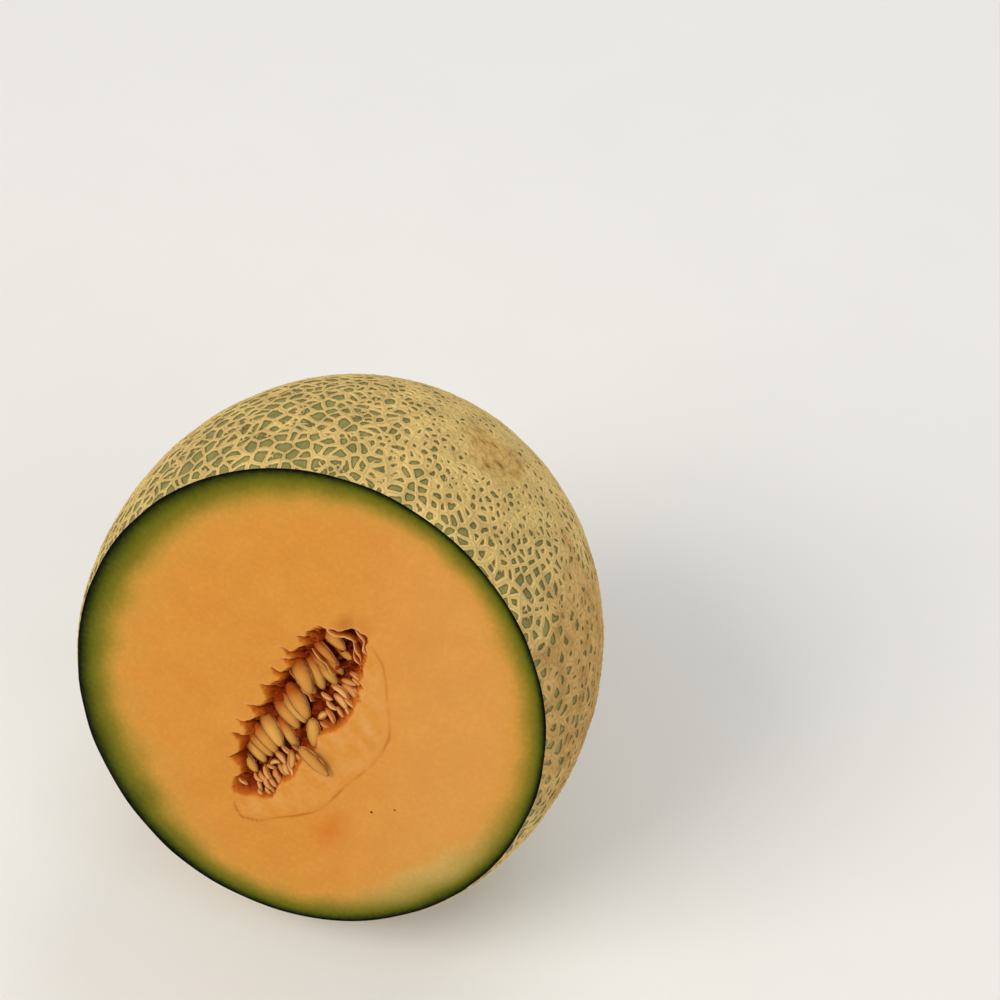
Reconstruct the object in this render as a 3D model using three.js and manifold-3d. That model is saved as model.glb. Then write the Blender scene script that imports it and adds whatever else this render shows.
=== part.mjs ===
// A netted melon with a slice taken off along its length, so that the green rind, the orange flesh and the
// seeds show. It stands on a small flat spot near its lower end, and the cut face leans back a little.
// Millimetres. Each piece is made in the fruit's own frame: the origin is the middle of the fruit, +Z runs up
// the cut face, +X to its right, and the cut face looks along -Y. The group then leans back and stands up.
import * as THREE from "three";
import { ConvexHull } from "three/addons/math/ConvexHull.js";
import { mergeVertices } from "three/addons/utils/BufferGeometryUtils.js";
import Module from "manifold-3d";

const wasm = await Module();
wasm.setup();

// The fruit: a melon 150 across and 172 long, a little lopsided, so its two ends sit off its long axis.
const ACROSS_RADIUS = 75;
const LONG_RADIUS = 86;
const LONG_AXIS_LEAN = 15; // degrees, to the right of the cut face's own upright
const POLE_LEAN = 28; // degrees, from the stem end below to the blossom end above
const POLE_BACK = 7; // degrees that the blossom end lies behind the plane of the cut
const CUT_OFFSET = 27.6; // from the middle of the fruit to the cut face
const CUT_LEAN = 18; // degrees that the cut face leans back
const REST_HEIGHT = 84.8; // from the flat spot up to the middle of the fruit

// The fruit's departures from an egg: where, how wide in degrees and how far out in millimetres.
const REST_SWELL = { back: 32, width: 24, rise: 6.5 }; // fuller low at the back, where it lay while growing
const BLOSSOM_FLAT = { width: 13, rise: -1.6 };
const STEM_DISH = { width: 5.2, rise: -3.4 };
const STEM_RING = { width: 13, rise: 1.5 };

// The corky net: raised ridges round sunken cells, drawn about twice as coarse as on the real fruit.
const NET_HEIGHT = 1.1;
const RIDGE_HALF_WIDTH = 1.7;
const CELL_COUNT = 700;
const CELL_JITTER = 0.34; // of the spacing
const CELL_CROWDING = 0.5; // how much smaller the cells get towards both ends, from 0 to 1
const BLOSSOM_BUTTON = 9; // degrees from the blossom end that are solid cork
const STEM_SCAR = 6.5; // degrees from the stem end where the stem came away clean

// The seed slit in the cut face. U runs along the fruit from stem to blossom, V across it to the upper left.
const SLIT_MIDDLE = { u: -4, v: 0.8 };
const SLIT_HALF_LENGTH = 40;
const SLIT_HALF_WIDTH = 11.6;
const SLIT_POWER = 2.6; // 2 is an ellipse, more is squarer
const SLIT_TAPER = 0.28; // how much narrower the slit is towards the stem end
const SLIT_SKEW = 0.07; // how much further across it lies for each millimetre along
const SLIT_STEPS = 72;
const SLIT_DEPTH = 15;
const SLIT_FLOOR_SCALE = 0.68;
const SLIT_LEDGE = { depth: 3.5, scale: 0.93 }; // below it the walls are smooth, above it they are notched
const TOOTH_DEPTH = 3.2; // of the notches along the upper left edge, which point towards the stem end
const TOOTH_PITCH = 5.2;

// The plump seeds, from the blossom end down, by the middle of each: turn swings its pointed end from straight
// across the slit towards the stem, rise lifts that end and roll tips the seed about its length, in degrees.
// Like roof tiles, most have the edge towards the stem on top of the next one, and some lie half under others.
const PLUMP_SEED = { length: 12.2, width: 5, thickness: 2.3, sides: 8, rings: 6 };
const PLUMP_PLACES = [
  { u: 24.2, v: 6.6, turn: 0, rise: 12, roll: -10, depth: 4.6, scale: 0.88 },
  { u: 19.2, v: 6.3, turn: 4, rise: 10, roll: 14, depth: 3.8, scale: 0.92 },
  { u: 13.4, v: 4.6, turn: 8, rise: 6, roll: 30, depth: 5.4, scale: 0.92 },
  { u: 9.8, v: 4, turn: 30, rise: 4, roll: -8, depth: 4.8, scale: 0.98 },
  { u: 8.1, v: 6.5, turn: 31, rise: 8, roll: -12, depth: 2.6, scale: 1.08 },
  { u: -1, v: 2.5, turn: 24, rise: 8, roll: -14, depth: 2.8, scale: 1.05 },
  { u: -4.6, v: 2.2, turn: 17, rise: 6, roll: -16, depth: 3.8, scale: 0.98 },
  { u: -8, v: 2.8, turn: 15, rise: 6, roll: -14, depth: 3.6, scale: 0.98 },
  { u: -11.2, v: 1.4, turn: 13, rise: 4, roll: -12, depth: 5.2, scale: 0.95 },
  { u: -14.4, v: -1.4, turn: 25, rise: 4, roll: 6, depth: 4, scale: 0.98 },
  { u: -16, v: 3.2, turn: 25, rise: 8, roll: -12, depth: 2.9, scale: 1.04 },
  { u: -20.6, v: 3.1, turn: 12, rise: 8, roll: -14, depth: 3.2, scale: 0.98 },
  { u: -24.2, v: 3.3, turn: 10, rise: 6, roll: -14, depth: 4, scale: 0.94 },
  { u: -27.8, v: 3, turn: 16, rise: 6, roll: -14, depth: 4.4, scale: 0.88 },
  { u: -33.2, v: 2.4, turn: 12, rise: 8, roll: -8, depth: 4, scale: 0.78 },
];

// Two plump seeds that came loose: one lies over the small seeds, the other on the flesh beside the slit, with
// its blunt end over the slit's edge.
const STRAY_SEEDS = {
  stray_seed_on_slit: { u: -5.6, v: -6.6, turn: 56, rise: 0, roll: -6, depth: 0.9, scale: 0.86 },
  stray_seed_on_flesh: { u: -12.2, v: -11.8, turn: 11, rise: 0, roll: 0, depth: -1.5, scale: 1 },
};

// The small seeds that never filled out, by the u, v, turn and length of each, and the soft ribbon that they
// grow from.
const YOUNG_SEED = { length: 1, width: 0.42, thickness: 0.3, sides: 6, rings: 4 };
const YOUNG_PLACES = [
  [18.7, -6.8, 15, 3.2], [17.2, -5, -16, 3.8], [15.3, -6.9, 9, 5], [13, -5, 9, 5.2], [11.2, -9, 6, 3.8],
  [9.8, -6.9, 21, 5], [7.2, -2.9, -19, 3.4], [5.8, -8.6, 18, 3.2], [5.4, -5.5, 4, 3.6], [3, -7.5, 29, 4.5],
  [0.7, -5.4, -83, 4.2], [-1.4, -7.8, 0, 3.2], [-16, -5.9, 5, 2.8], [-17.3, -8.5, 11, 2.8],
  [-18.7, -4.3, 3, 3.9], [-19.6, -6.9, 57, 5], [-21.5, -4.3, 22, 4.2], [-23.5, -9, 24, 2.8],
  [-24.4, -7.4, 41, 4.3], [-25.2, -3.6, -54, 3], [-26.1, -6.8, 35, 4], [-27.9, -4.1, -15, 2.8],
  [-28.7, -6.6, 25, 4], [-31.1, -4.2, 23, 4.7], [-31.9, -7.4, 28, 3.7], [-34.1, -6, 34, 4.2],
  [-35.1, -3, 7, 3.4], [-36.1, -7.8, 24, 3.2], [-37.1, -5, 36, 3.2],
];
const YOUNG_DEPTH = 2.4;
const RIBBON = { v: -6.2, from: -38, to: 19.5, depth: 3.1, halfWidth: 3.6, halfThickness: 0.9 };

const STRAND_RADIUS = 1.2; // of the soft string that the plump seeds grow from
const STRAND_CURVE_PARTS = 3; // for half of its round section
const STRAND_STEP = 4.5;
const RIBBON_SIDES = 10;
const PULP_RINGS = 3;
const PULP_TOP = 6.6; // depth of the pulp below the cut face, at the middle of the slit
const PULP_SLOPE = 0.14; // and how much deeper it gets for each millimetre towards the upper left
const PULP_RIDGE = 0.9; // height of the ridges between the plump seeds
const GAP = 0.3; // left between one piece and the next

const COLOURS = { rind: 0xc2ab72, pulp: 0xb5622a, seed: 0xd9b877, young: 0xe2a878 };
const OUT = new THREE.Vector3(0, -1, 0); // out of the cut face
const UP = new THREE.Vector3(0, -Math.sin(rad(CUT_LEAN)), Math.cos(rad(CUT_LEAN)));
const LONG_AXIS = uprightLeaning(LONG_AXIS_LEAN);
const ALONG = uprightLeaning(POLE_LEAN);
const ACROSS = new THREE.Vector3().crossVectors(OUT, ALONG);
const BLOSSOM = ALONG.clone().applyAxisAngle(ACROSS, rad(POLE_BACK));
const STEM = BLOSSOM.clone().negate();
const REST_BACK = new THREE.Vector3(0, Math.sin(rad(REST_SWELL.back)), -Math.cos(rad(REST_SWELL.back)));

function rad(degrees) {
  return THREE.MathUtils.degToRad(degrees);
}

// A direction in the cut face's plane, leaning to the right of its upright.
function uprightLeaning(degrees) {
  return new THREE.Vector3(Math.sin(rad(degrees)), 0, Math.cos(rad(degrees)));
}

// Evenly spread numbers from 0 to 1, the same ones each run.
function seededRandom(seed) {
  let state = seed;
  return () => {
    state = (state * 48271) % 2147483647;
    return state / 2147483647;
  };
}

// A closed mesh as a solid that can be joined and cut.
function solidOf(geometry) {
  const bare = geometry.clone();
  bare.deleteAttribute("normal");
  bare.deleteAttribute("uv");
  const merged = mergeVertices(bare, 1e-4);
  return new wasm.Manifold(
    new wasm.Mesh({
      numProp: 3,
      vertProperties: new Float32Array(merged.attributes.position.array),
      triVerts: new Uint32Array(merged.index.array),
    }),
  );
}

// The one largest body of a solid, without the scraps that a cut leaves.
function largestOf(solid) {
  return solid.decompose().sort((a, b) => b.volume() - a.volume())[0];
}

function meshOf(name, solid, colour, roughness) {
  const { vertProperties, triVerts } = solid.getMesh();
  const geometry = new THREE.BufferGeometry();
  geometry.setAttribute("position", new THREE.BufferAttribute(new Float32Array(vertProperties), 3));
  geometry.setIndex(new THREE.BufferAttribute(new Uint32Array(triVerts), 1));
  geometry.computeVertexNormals();
  const mesh = new THREE.Mesh(geometry, new THREE.MeshStandardMaterial({ color: colour, roughness }));
  mesh.name = name;
  return mesh;
}

// How strongly a rounded bump acts in a direction: 1 at its middle, fading over its width in degrees.
function bump(direction, middle, width) {
  const angle = THREE.MathUtils.radToDeg(direction.angleTo(middle));
  return Math.exp(-((angle / width) ** 2));
}

// A point of the skin in a direction from the fruit's middle, raised by a height: the unit sphere stretched
// along the long axis, then pushed out along its normal by the swellings and dishes.
function skinPoint(direction, height) {
  const along = direction.dot(LONG_AXIS);
  const point = direction.clone().multiplyScalar(ACROSS_RADIUS);
  point.addScaledVector(LONG_AXIS, along * (LONG_RADIUS - ACROSS_RADIUS));
  const normal = direction.clone().divideScalar(ACROSS_RADIUS);
  normal.addScaledVector(LONG_AXIS, along * (1 / LONG_RADIUS - 1 / ACROSS_RADIUS)).normalize();
  const swelling =
    REST_SWELL.rise * bump(direction, REST_BACK, REST_SWELL.width) +
    BLOSSOM_FLAT.rise * bump(direction, BLOSSOM, BLOSSOM_FLAT.width) +
    STEM_RING.rise * bump(direction, STEM, STEM_RING.width) +
    STEM_DISH.rise * bump(direction, STEM, STEM_DISH.width);
  return point.addScaledVector(normal, height + swelling);
}

// The middles of the net's cells: a sunflower spiral from one end of the fruit to the other, closer together
// near both ends and shaken by seeded draws.
function cellMiddles() {
  const random = seededRandom(2027);
  const goldenAngle = Math.PI * (3 - Math.sqrt(5));
  const side = new THREE.Vector3().crossVectors(BLOSSOM, ACROSS);
  const spacing = Math.sqrt((4 * Math.PI) / CELL_COUNT);
  return Array.from({ length: CELL_COUNT }, (_, i) => {
    const even = 1 - (2 * i + 1) / CELL_COUNT;
    const crowded = Math.sin((Math.PI * even) / 2);
    const along = even * (1 - CELL_CROWDING) + crowded * CELL_CROWDING;
    const ring = Math.sqrt(1 - along * along);
    const middle = BLOSSOM.clone().multiplyScalar(along);
    middle.addScaledVector(ACROSS, ring * Math.cos(i * goldenAngle));
    middle.addScaledVector(side, ring * Math.sin(i * goldenAngle));
    const shake = () => (random() - 0.5) * 2 * CELL_JITTER * spacing;
    return middle.add(new THREE.Vector3(shake(), shake(), shake())).normalize();
  });
}

// The cells round those middles. A face of the middles' convex hull touches three cells, and its normal
// points at the corner that they share.
function netCells() {
  const middles = cellMiddles();
  const hull = new ConvexHull().setFromPoints(middles);
  const corners = hull.faces.map((face) => face.normal.clone());
  const around = new Map(middles.map((middle) => [middle, []]));
  hull.faces.forEach((face, index) => {
    for (const edge of [face.edge, face.edge.next, face.edge.prev]) around.get(edge.head().point).push(index);
  });
  const cells = middles.map((middle) => {
    const right = new THREE.Vector3().crossVectors(ACROSS, middle).normalize();
    const ahead = new THREE.Vector3().crossVectors(middle, right);
    const angleOf = (index) => Math.atan2(corners[index].dot(ahead), corners[index].dot(right));
    return { middle, ring: around.get(middle).sort((a, b) => angleOf(a) - angleOf(b)) };
  });
  return { corners, cells };
}

// The whole fruit with its net raised: each cell's outline is a ridge line shared with its neighbours, and
// inside it a smaller copy of the outline lies on the skin. Both ends of the fruit stay closed.
function nettedFruit() {
  const { corners, cells } = netCells();
  const points = corners.map((corner) => skinPoint(corner, NET_HEIGHT));
  const faces = [];
  for (const { middle, ring } of cells) {
    const closed =
      middle.angleTo(BLOSSOM) < rad(BLOSSOM_BUTTON) || middle.angleTo(STEM) < rad(STEM_SCAR);
    let inner = ring;
    if (!closed) {
      const centre = ring.reduce((sum, i) => sum.add(corners[i]), new THREE.Vector3()).normalize();
      const reach = ring.reduce((sum, i) => sum + corners[i].distanceTo(centre), 0) / ring.length;
      const scale = THREE.MathUtils.clamp(1 - RIDGE_HALF_WIDTH / (reach * ACROSS_RADIUS * 0.87), 0.3, 0.85);
      const drawnIn = (i) => centre.clone().lerp(corners[i], scale).normalize();
      inner = ring.map((i) => points.push(skinPoint(drawnIn(i), 0)) - 1);
      ring.forEach((corner, k) => {
        const next = (k + 1) % ring.length;
        faces.push(corner, ring[next], inner[next], corner, inner[next], inner[k]);
      });
    }
    for (let k = 1; k + 1 < inner.length; k++) faces.push(inner[0], inner[k], inner[k + 1]);
  }
  const geometry = new THREE.BufferGeometry().setFromPoints(points);
  geometry.setIndex(faces);
  return solidOf(geometry);
}

// A big block that lies past a plane, for cutting flat faces: the plane is distance out along the normal.
function blockPast(normal, distance) {
  const size = 4 * LONG_RADIUS;
  const block = new THREE.BoxGeometry(size, size, size);
  const turn = new THREE.Quaternion().setFromUnitVectors(new THREE.Vector3(0, 0, 1), normal);
  block.translate(0, 0, distance + size / 2).applyQuaternion(turn);
  return solidOf(block);
}

// A place on the cut face, u along the slit and v across it, sunk by a depth.
function onFace(u, v, depth = 0) {
  return new THREE.Vector3()
    .addScaledVector(ALONG, u)
    .addScaledVector(ACROSS, v)
    .addScaledVector(OUT, CUT_OFFSET - depth);
}

// The slit's outline: a rounded lens, narrower towards the stem end, and where it is ragged it has a saw of
// notches on its upper left.
function slitOutline(ragged) {
  return Array.from({ length: SLIT_STEPS }, (_, i) => {
    const angle = (2 * Math.PI * i) / SLIT_STEPS;
    const along = Math.cos(angle);
    const bulge = (1 - Math.abs(along) ** SLIT_POWER) ** (1 / SLIT_POWER);
    const across = Math.sign(Math.sin(angle)) * bulge * (1 + SLIT_TAPER * along);
    const u = SLIT_HALF_LENGTH * along;
    const notch = 1 - (((u + 2 * SLIT_HALF_LENGTH) / TOOTH_PITCH) % 1);
    const tooth = ragged && across > 0.3 ? TOOTH_DEPTH * notch * notch : 0;
    return { u, v: SLIT_HALF_WIDTH * across + SLIT_SKEW * u + tooth };
  });
}

// A closed solid from the slit's outline, drawn once for each ring at its scale and depth, and closed by a fan
// to the middle of the first ring and of the last. A depth is a number or a rule for each place.
function lofted(rings) {
  const points = [];
  const faces = [];
  const place = (u, v, depth) => {
    const at = { u: SLIT_MIDDLE.u + u, v: SLIT_MIDDLE.v + v };
    points.push(onFace(at.u, at.v, typeof depth === "function" ? depth(at.u, at.v) : depth));
  };
  for (const { scale, depth, ragged } of rings) {
    for (const { u, v } of slitOutline(ragged)) place(u * scale, v * scale, depth);
  }
  const first = points.length;
  place(0, 0, rings[0].depth);
  place(0, 0, rings.at(-1).depth);
  for (let i = 0; i < SLIT_STEPS; i++) {
    const next = (i + 1) % SLIT_STEPS;
    faces.push(first, next, i);
    for (let r = 1; r < rings.length; r++) {
      const [below, above] = [(r - 1) * SLIT_STEPS, r * SLIT_STEPS];
      faces.push(below + i, below + next, above + next, below + i, above + next, above + i);
    }
    const last = (rings.length - 1) * SLIT_STEPS;
    faces.push(first + 1, last + i, last + next);
  }
  const geometry = new THREE.BufferGeometry().setFromPoints(points);
  geometry.setIndex(faces);
  return solidOf(geometry);
}

// The hollow that the seeds lie in, from just outside the cut face to its floor, or one smaller all round.
function slitHollow(inset = 0) {
  const shrink = 1 - inset / SLIT_HALF_WIDTH;
  return lofted([
    { scale: SLIT_FLOOR_SCALE * shrink, depth: SLIT_DEPTH - inset },
    { scale: SLIT_LEDGE.scale * shrink, depth: SLIT_LEDGE.depth },
    { scale: shrink, depth: 0, ragged: true },
    { scale: shrink, depth: -5, ragged: true },
  ]);
}

// How deep the pulp's top lies: sloping down to the upper left, with low ridges across the slit.
function pulpDepth(u, v) {
  const ridge = Math.cos((2 * Math.PI * (u + 0.35 * v)) / TOOTH_PITCH);
  return PULP_TOP + PULP_SLOPE * v - PULP_RIDGE * ridge;
}

// The wet stringy pulp in the bottom of the slit: what lies under its wavy top, clear of the slit's walls.
function pulpBed() {
  const top = Array.from({ length: PULP_RINGS }, (_, i) => ({
    scale: 1.15 * (1 - i / PULP_RINGS),
    depth: pulpDepth,
  }));
  return lofted([{ scale: 1.15, depth: SLIT_DEPTH + 5 }, ...top]).intersect(slitHollow(GAP));
}

// A seed, blunt at one end and pointed at the other: a sphere drawn out along its length, its width following
// a rounded wedge. Extra is how much larger than life it is made on every side.
function seedGeometry({ length, width, thickness, sides, rings }, scale = 1, extra = 0) {
  const geometry = new THREE.SphereGeometry(1, sides, rings);
  const position = geometry.attributes.position;
  const widest = 1.007;
  for (let i = 0; i < position.count; i++) {
    const along = THREE.MathUtils.clamp(position.getY(i), -1, 1);
    const ring = Math.sqrt(1 - along * along) || 1;
    const wedge = ((1 + along) ** 0.5 * (1 - along) ** 0.62) / widest;
    position.setXYZ(
      i,
      (position.getX(i) / ring) * wedge * ((scale * width) / 2 + extra),
      along * ((scale * length) / 2 + extra),
      (position.getZ(i) / ring) * wedge * ((scale * thickness) / 2 + extra),
    );
  }
  return geometry;
}

// A seed laid at its place in the slit or on the flesh.
function placedSeed(kind, { u, v, depth, turn, rise, roll, scale }, extra = 0) {
  const flat = new THREE.Vector3()
    .addScaledVector(ALONG, -Math.sin(rad(turn)))
    .addScaledVector(ACROSS, -Math.cos(rad(turn)));
  const tip = flat.clone().multiplyScalar(Math.cos(rad(rise))).addScaledVector(OUT, Math.sin(rad(rise)));
  const level = OUT.clone().addScaledVector(tip, -OUT.dot(tip)).normalize();
  const face = level.applyAxisAngle(tip, rad(roll));
  const side = new THREE.Vector3().crossVectors(tip, face);
  const place = new THREE.Matrix4().makeBasis(side, tip, face).setPosition(onFace(u, v, depth));
  return solidOf(seedGeometry(kind, scale, extra).applyMatrix4(place));
}

// The small seeds, shaken a little in how they lie.
function youngPlaces() {
  const random = seededRandom(97);
  const about = (middle, spread) => middle + (random() - 0.5) * 2 * spread;
  return YOUNG_PLACES.map(([u, v, turn, length]) => ({
    u,
    v,
    turn,
    scale: length,
    depth: about(YOUNG_DEPTH, 0.25),
    rise: about(0, 9),
    roll: about(0, 20),
  }));
}

// The soft string under the plump seeds: round in section, through the places given.
function strand(places, extra) {
  const circle = new THREE.Shape().absarc(0, 0, STRAND_RADIUS + extra, 0, 2 * Math.PI);
  const path = new THREE.CatmullRomCurve3(places.map(({ u, v, depth }) => onFace(u, v, depth)));
  return solidOf(
    new THREE.ExtrudeGeometry(circle, {
      steps: Math.ceil(path.getLength() / STRAND_STEP),
      curveSegments: STRAND_CURVE_PARTS,
      bevelEnabled: false,
      extrudePath: path,
    }),
  );
}

// The soft ribbon under the small seeds: a straight rod of a flat elliptical section.
function ribbon(extra) {
  const { v, from, to, depth, halfWidth, halfThickness } = RIBBON;
  const rod = new THREE.CylinderGeometry(1, 1, 1, RIBBON_SIDES);
  rod.scale(halfWidth + extra, to - from + 2 * extra, halfThickness + extra);
  const place = new THREE.Matrix4().makeBasis(ACROSS.clone().negate(), ALONG, OUT);
  return solidOf(rod.applyMatrix4(place.setPosition(onFace((from + to) / 2, v, depth))));
}

// A row of seeds fused to what they grow from, as one solid.
function seedRow(kind, seeds, root, extra) {
  return seeds.reduce((sum, seed) => sum.add(placedSeed(kind, seed, extra)), root);
}

function plumpRow(extra = 0) {
  const under = (place) => ({ ...place, depth: place.depth + PLUMP_SEED.thickness / 2 + 0.5 });
  return seedRow(PLUMP_SEED, PLUMP_PLACES, strand(PLUMP_PLACES.map(under), extra), extra);
}

function youngRow(extra = 0) {
  return seedRow(YOUNG_SEED, youngPlaces(), ribbon(extra), extra);
}

function build() {
  const strays = Object.entries(STRAY_SEEDS);
  const roomFor = (name) => placedSeed(PLUMP_SEED, STRAY_SEEDS[name], GAP);
  const room = plumpRow(GAP).add(youngRow(GAP)).add(roomFor("stray_seed_on_slit"));
  const fruit = nettedFruit()
    .subtract(blockPast(OUT, CUT_OFFSET))
    .subtract(blockPast(UP.clone().negate(), REST_HEIGHT))
    .subtract(slitHollow())
    .subtract(room);
  const seeds = plumpRow().subtract(roomFor("stray_seed_on_slit"));
  const young = youngRow().subtract(plumpRow(GAP)).subtract(roomFor("stray_seed_on_slit"));

  const pieces = new THREE.Group();
  pieces.add(
    meshOf("melon", largestOf(fruit), COLOURS.rind, 0.75),
    meshOf("pulp", largestOf(pulpBed().subtract(room)), COLOURS.pulp, 0.3),
    meshOf("seeds", largestOf(seeds), COLOURS.seed, 0.35),
    meshOf("young_seeds", largestOf(young), COLOURS.young, 0.35),
  );
  for (const [name, place] of strays) {
    pieces.add(meshOf(name, placedSeed(PLUMP_SEED, place), COLOURS.seed, 0.35));
  }
  return pieces;
}

// The pieces lean back by the cut's lean, and the whole stands on the ground with the middle of its base at
// the origin.
const melon = new THREE.Group();
const leaning = build();
leaning.rotation.x = -rad(CUT_LEAN);
leaning.position.z = REST_HEIGHT;
melon.add(leaning);
melon.updateMatrixWorld(true);
const base = new THREE.Box3().setFromObject(melon, true).getCenter(new THREE.Vector3());
melon.position.set(-base.x, -base.y, 0);

export default melon;
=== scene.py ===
"""Looks for a netted melon with a slice taken off along its length.

Surfaces are worked out in the fruit's own frame, in millimetres: the origin is the middle of the fruit, +Z
runs up the cut face, +X to its right, and the cut face looks along -Y. One function leans them back, stands
them on the row's floor and turns them to metres. The rind is drawn cell by cell at its true scale, finer than
on the solid that it stands for.
"""

import bpy
import numpy as np
from mathutils import Matrix, Vector


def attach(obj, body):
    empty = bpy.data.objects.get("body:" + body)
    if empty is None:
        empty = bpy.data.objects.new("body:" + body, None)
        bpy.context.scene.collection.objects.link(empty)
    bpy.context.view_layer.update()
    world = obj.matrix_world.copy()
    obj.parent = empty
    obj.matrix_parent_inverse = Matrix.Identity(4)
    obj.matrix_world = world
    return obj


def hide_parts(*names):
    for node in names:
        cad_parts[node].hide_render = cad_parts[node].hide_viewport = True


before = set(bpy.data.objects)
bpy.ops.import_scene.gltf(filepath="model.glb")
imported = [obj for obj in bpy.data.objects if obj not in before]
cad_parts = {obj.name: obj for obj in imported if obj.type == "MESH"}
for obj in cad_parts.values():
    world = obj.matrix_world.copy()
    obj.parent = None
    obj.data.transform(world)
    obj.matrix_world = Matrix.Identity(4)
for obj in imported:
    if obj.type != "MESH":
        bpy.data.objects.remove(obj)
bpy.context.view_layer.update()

bl_info = {
    "name": "Cut Netted Melon",
    "version": (1, 0, 0),
    "blender": (4, 5, 0),
    "location": "View3D > Sidebar > Melon",
    "description": "Builds the netted rind, the flesh, the seed slit and the seeds of a cut melon",
    "category": "Add Mesh",
}

MM = 0.001

# The fruit, as the solid has it.
ACROSS_RADIUS = 75.0
LONG_RADIUS = 86.0
LONG_AXIS_LEAN = 15.0
POLE_LEAN = 28.0
POLE_BACK = 7.0
CUT_OFFSET = 27.6
CUT_LEAN = 18.0
FRUIT_MIDDLE = (-0.135, -12.997, 84.8)  # in the row frame
MEAN_RADIUS = 78.0
SKIN_LIFT = 0.3  # brings the skin between fine ridges up to the mean height of the solid's coarse ones

# The camera of the photograph, from the middle of the fruit: sideways, up and away, in millimetres.
CAMERA_AZIMUTH = 18.8
CAMERA_ELEVATION = 50.0
CAMERA_PLACE = (47.1, 45.7, 587.7)
CAMERA_LENS = 72.0

# The rind's grid: four sides from the cut round to the back, and the back itself, all with matching edges.
RIND_COLUMNS = 266
RIND_ROWS = 240
CUT_ROWS = 31  # of the flesh, from the rind in to the middle grid
TILE = 20
CELL_REACH = 9.0  # farther than this from a point, in millimetres, no cell's middle matters to it

# The seed slit, on the cut face: u runs from the stem end to the blossom end, v across it to the upper left.
# The outline is drawn out along the ragged upper left edge, tip and root in turn, and back below.
SLIT_OUTLINE = (
    (-43.8, -0.5), (-41.0, 2.4), (-38.6, 2.8), (-36.0, 2.0), (-34.0, 3.6), (-32.6, 6.6), (-33.6, 9.2),
    (-31.4, 7.0), (-29.2, 6.8), (-26.9, 8.0), (-24.4, 11.4), (-22.4, 8.6), (-20.6, 9.0), (-19.2, 12.9),
    (-16.6, 9.8), (-13.2, 9.4), (-12.0, 13.8), (-9.4, 10.4), (-5.6, 9.8), (-2.2, 14.2), (-0.4, 11.4),
    (3.2, 11.6), (4.8, 15.0), (7.4, 11.2), (9.0, 11.2), (9.8, 14.6), (12.2, 12.2), (12.9, 16.6),
    (15.6, 12.5), (18.6, 12.0), (19.9, 14.2), (22.0, 12.6), (23.8, 13.6), (26.0, 12.2), (28.4, 12.3),
    (30.3, 7.2), (32.4, 5.9), (34.6, 4.2), (35.6, 1.8), (35.4, 0.2), (34.0, -1.8), (32.4, -2.2),
    (29.9, -4.2), (24.8, -6.1), (20.4, -7.9), (19.5, -9.5), (15.8, -10.2), (12.2, -11.4), (8.4, -11.5),
    (4.7, -12.3), (0.0, -11.2), (-2.6, -8.9), (-5.1, -9.0), (-9.6, -10.4), (-14.2, -10.2), (-18.6, -9.9),
    (-22.5, -10.9), (-25.5, -10.5), (-28.8, -9.4), (-32.2, -9.6), (-36.4, -10.0), (-38.6, -8.0),
    (-40.6, -4.9), (-43.5, -2.0),
)

# The faint line round the seed bed, on the flesh below the slit, and the bed that it bounds with the slit.
SEED_BED_LINE = (
    (33.6, -3.6), (31.0, -8.6), (26.8, -12.6), (22.0, -16.0), (16.6, -20.2), (11.1, -23.6), (4.6, -25.0),
    (-2.6, -25.0), (-8.6, -24.2), (-14.5, -23.5), (-19.5, -23.3), (-25.4, -22.9), (-29.9, -21.8),
    (-35.6, -18.5), (-40.8, -14.6), (-46.3, -11.4), (-49.5, -6.9), (-48.5, -4.2), (-47.0, -2.3),
)

# The grid of the cut face's middle: where each stretch starts and its steps, finest where the slit lies.
BED_U = ((-56.0, 12), (-46.0, 400), (38.0, 12), (48.0, 0))
BED_V = ((-30.0, 56), (-13.5, 150), (18.0, 10), (24.0, 0))

# The plump seeds, as the solid has them: the middle of each, how it lies in degrees, its depth and scale.
SEED_KEYS = ("u", "v", "turn", "rise", "roll", "depth", "scale")
SEED_SIZE = (12.2, 5.0, 2.3)  # length, width and thickness
SEED_STEPS = (30, 28)  # along a seed and round it
PLUMP_PLACES = (
    (24.2, 6.6, 0, 12, -10, 4.6, 0.88),
    (19.2, 6.3, 4, 10, 14, 3.8, 0.92),
    (13.4, 4.6, 8, 6, 30, 5.4, 0.92),
    (9.8, 4.0, 30, 4, -8, 4.8, 0.98),
    (8.1, 6.5, 31, 8, -12, 2.6, 1.08),
    (-1.0, 2.5, 24, 8, -14, 2.8, 1.05),
    (-4.6, 2.2, 17, 6, -16, 3.8, 0.98),
    (-8.0, 2.8, 15, 6, -14, 3.6, 0.98),
    (-11.2, 1.4, 13, 4, -12, 5.2, 0.95),
    (-14.4, -1.4, 25, 4, 6, 4.0, 0.98),
    (-16.0, 3.2, 25, 8, -12, 2.9, 1.04),
    (-20.6, 3.1, 12, 8, -14, 3.2, 0.98),
    (-24.2, 3.3, 10, 6, -14, 4.0, 0.94),
    (-27.8, 3.0, 16, 6, -14, 4.4, 0.88),
    (-33.2, 2.4, 12, 8, -8, 4.0, 0.78),
)
STRAY_PLACES = {
    "stray_seed_on_slit": (-5.6, -6.6, 56, 0, -6, 0.9, 0.86),
    "stray_seed_on_flesh": (-12.2, -11.8, 11, 0, 0, -1.5, 1.0),
}

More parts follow.
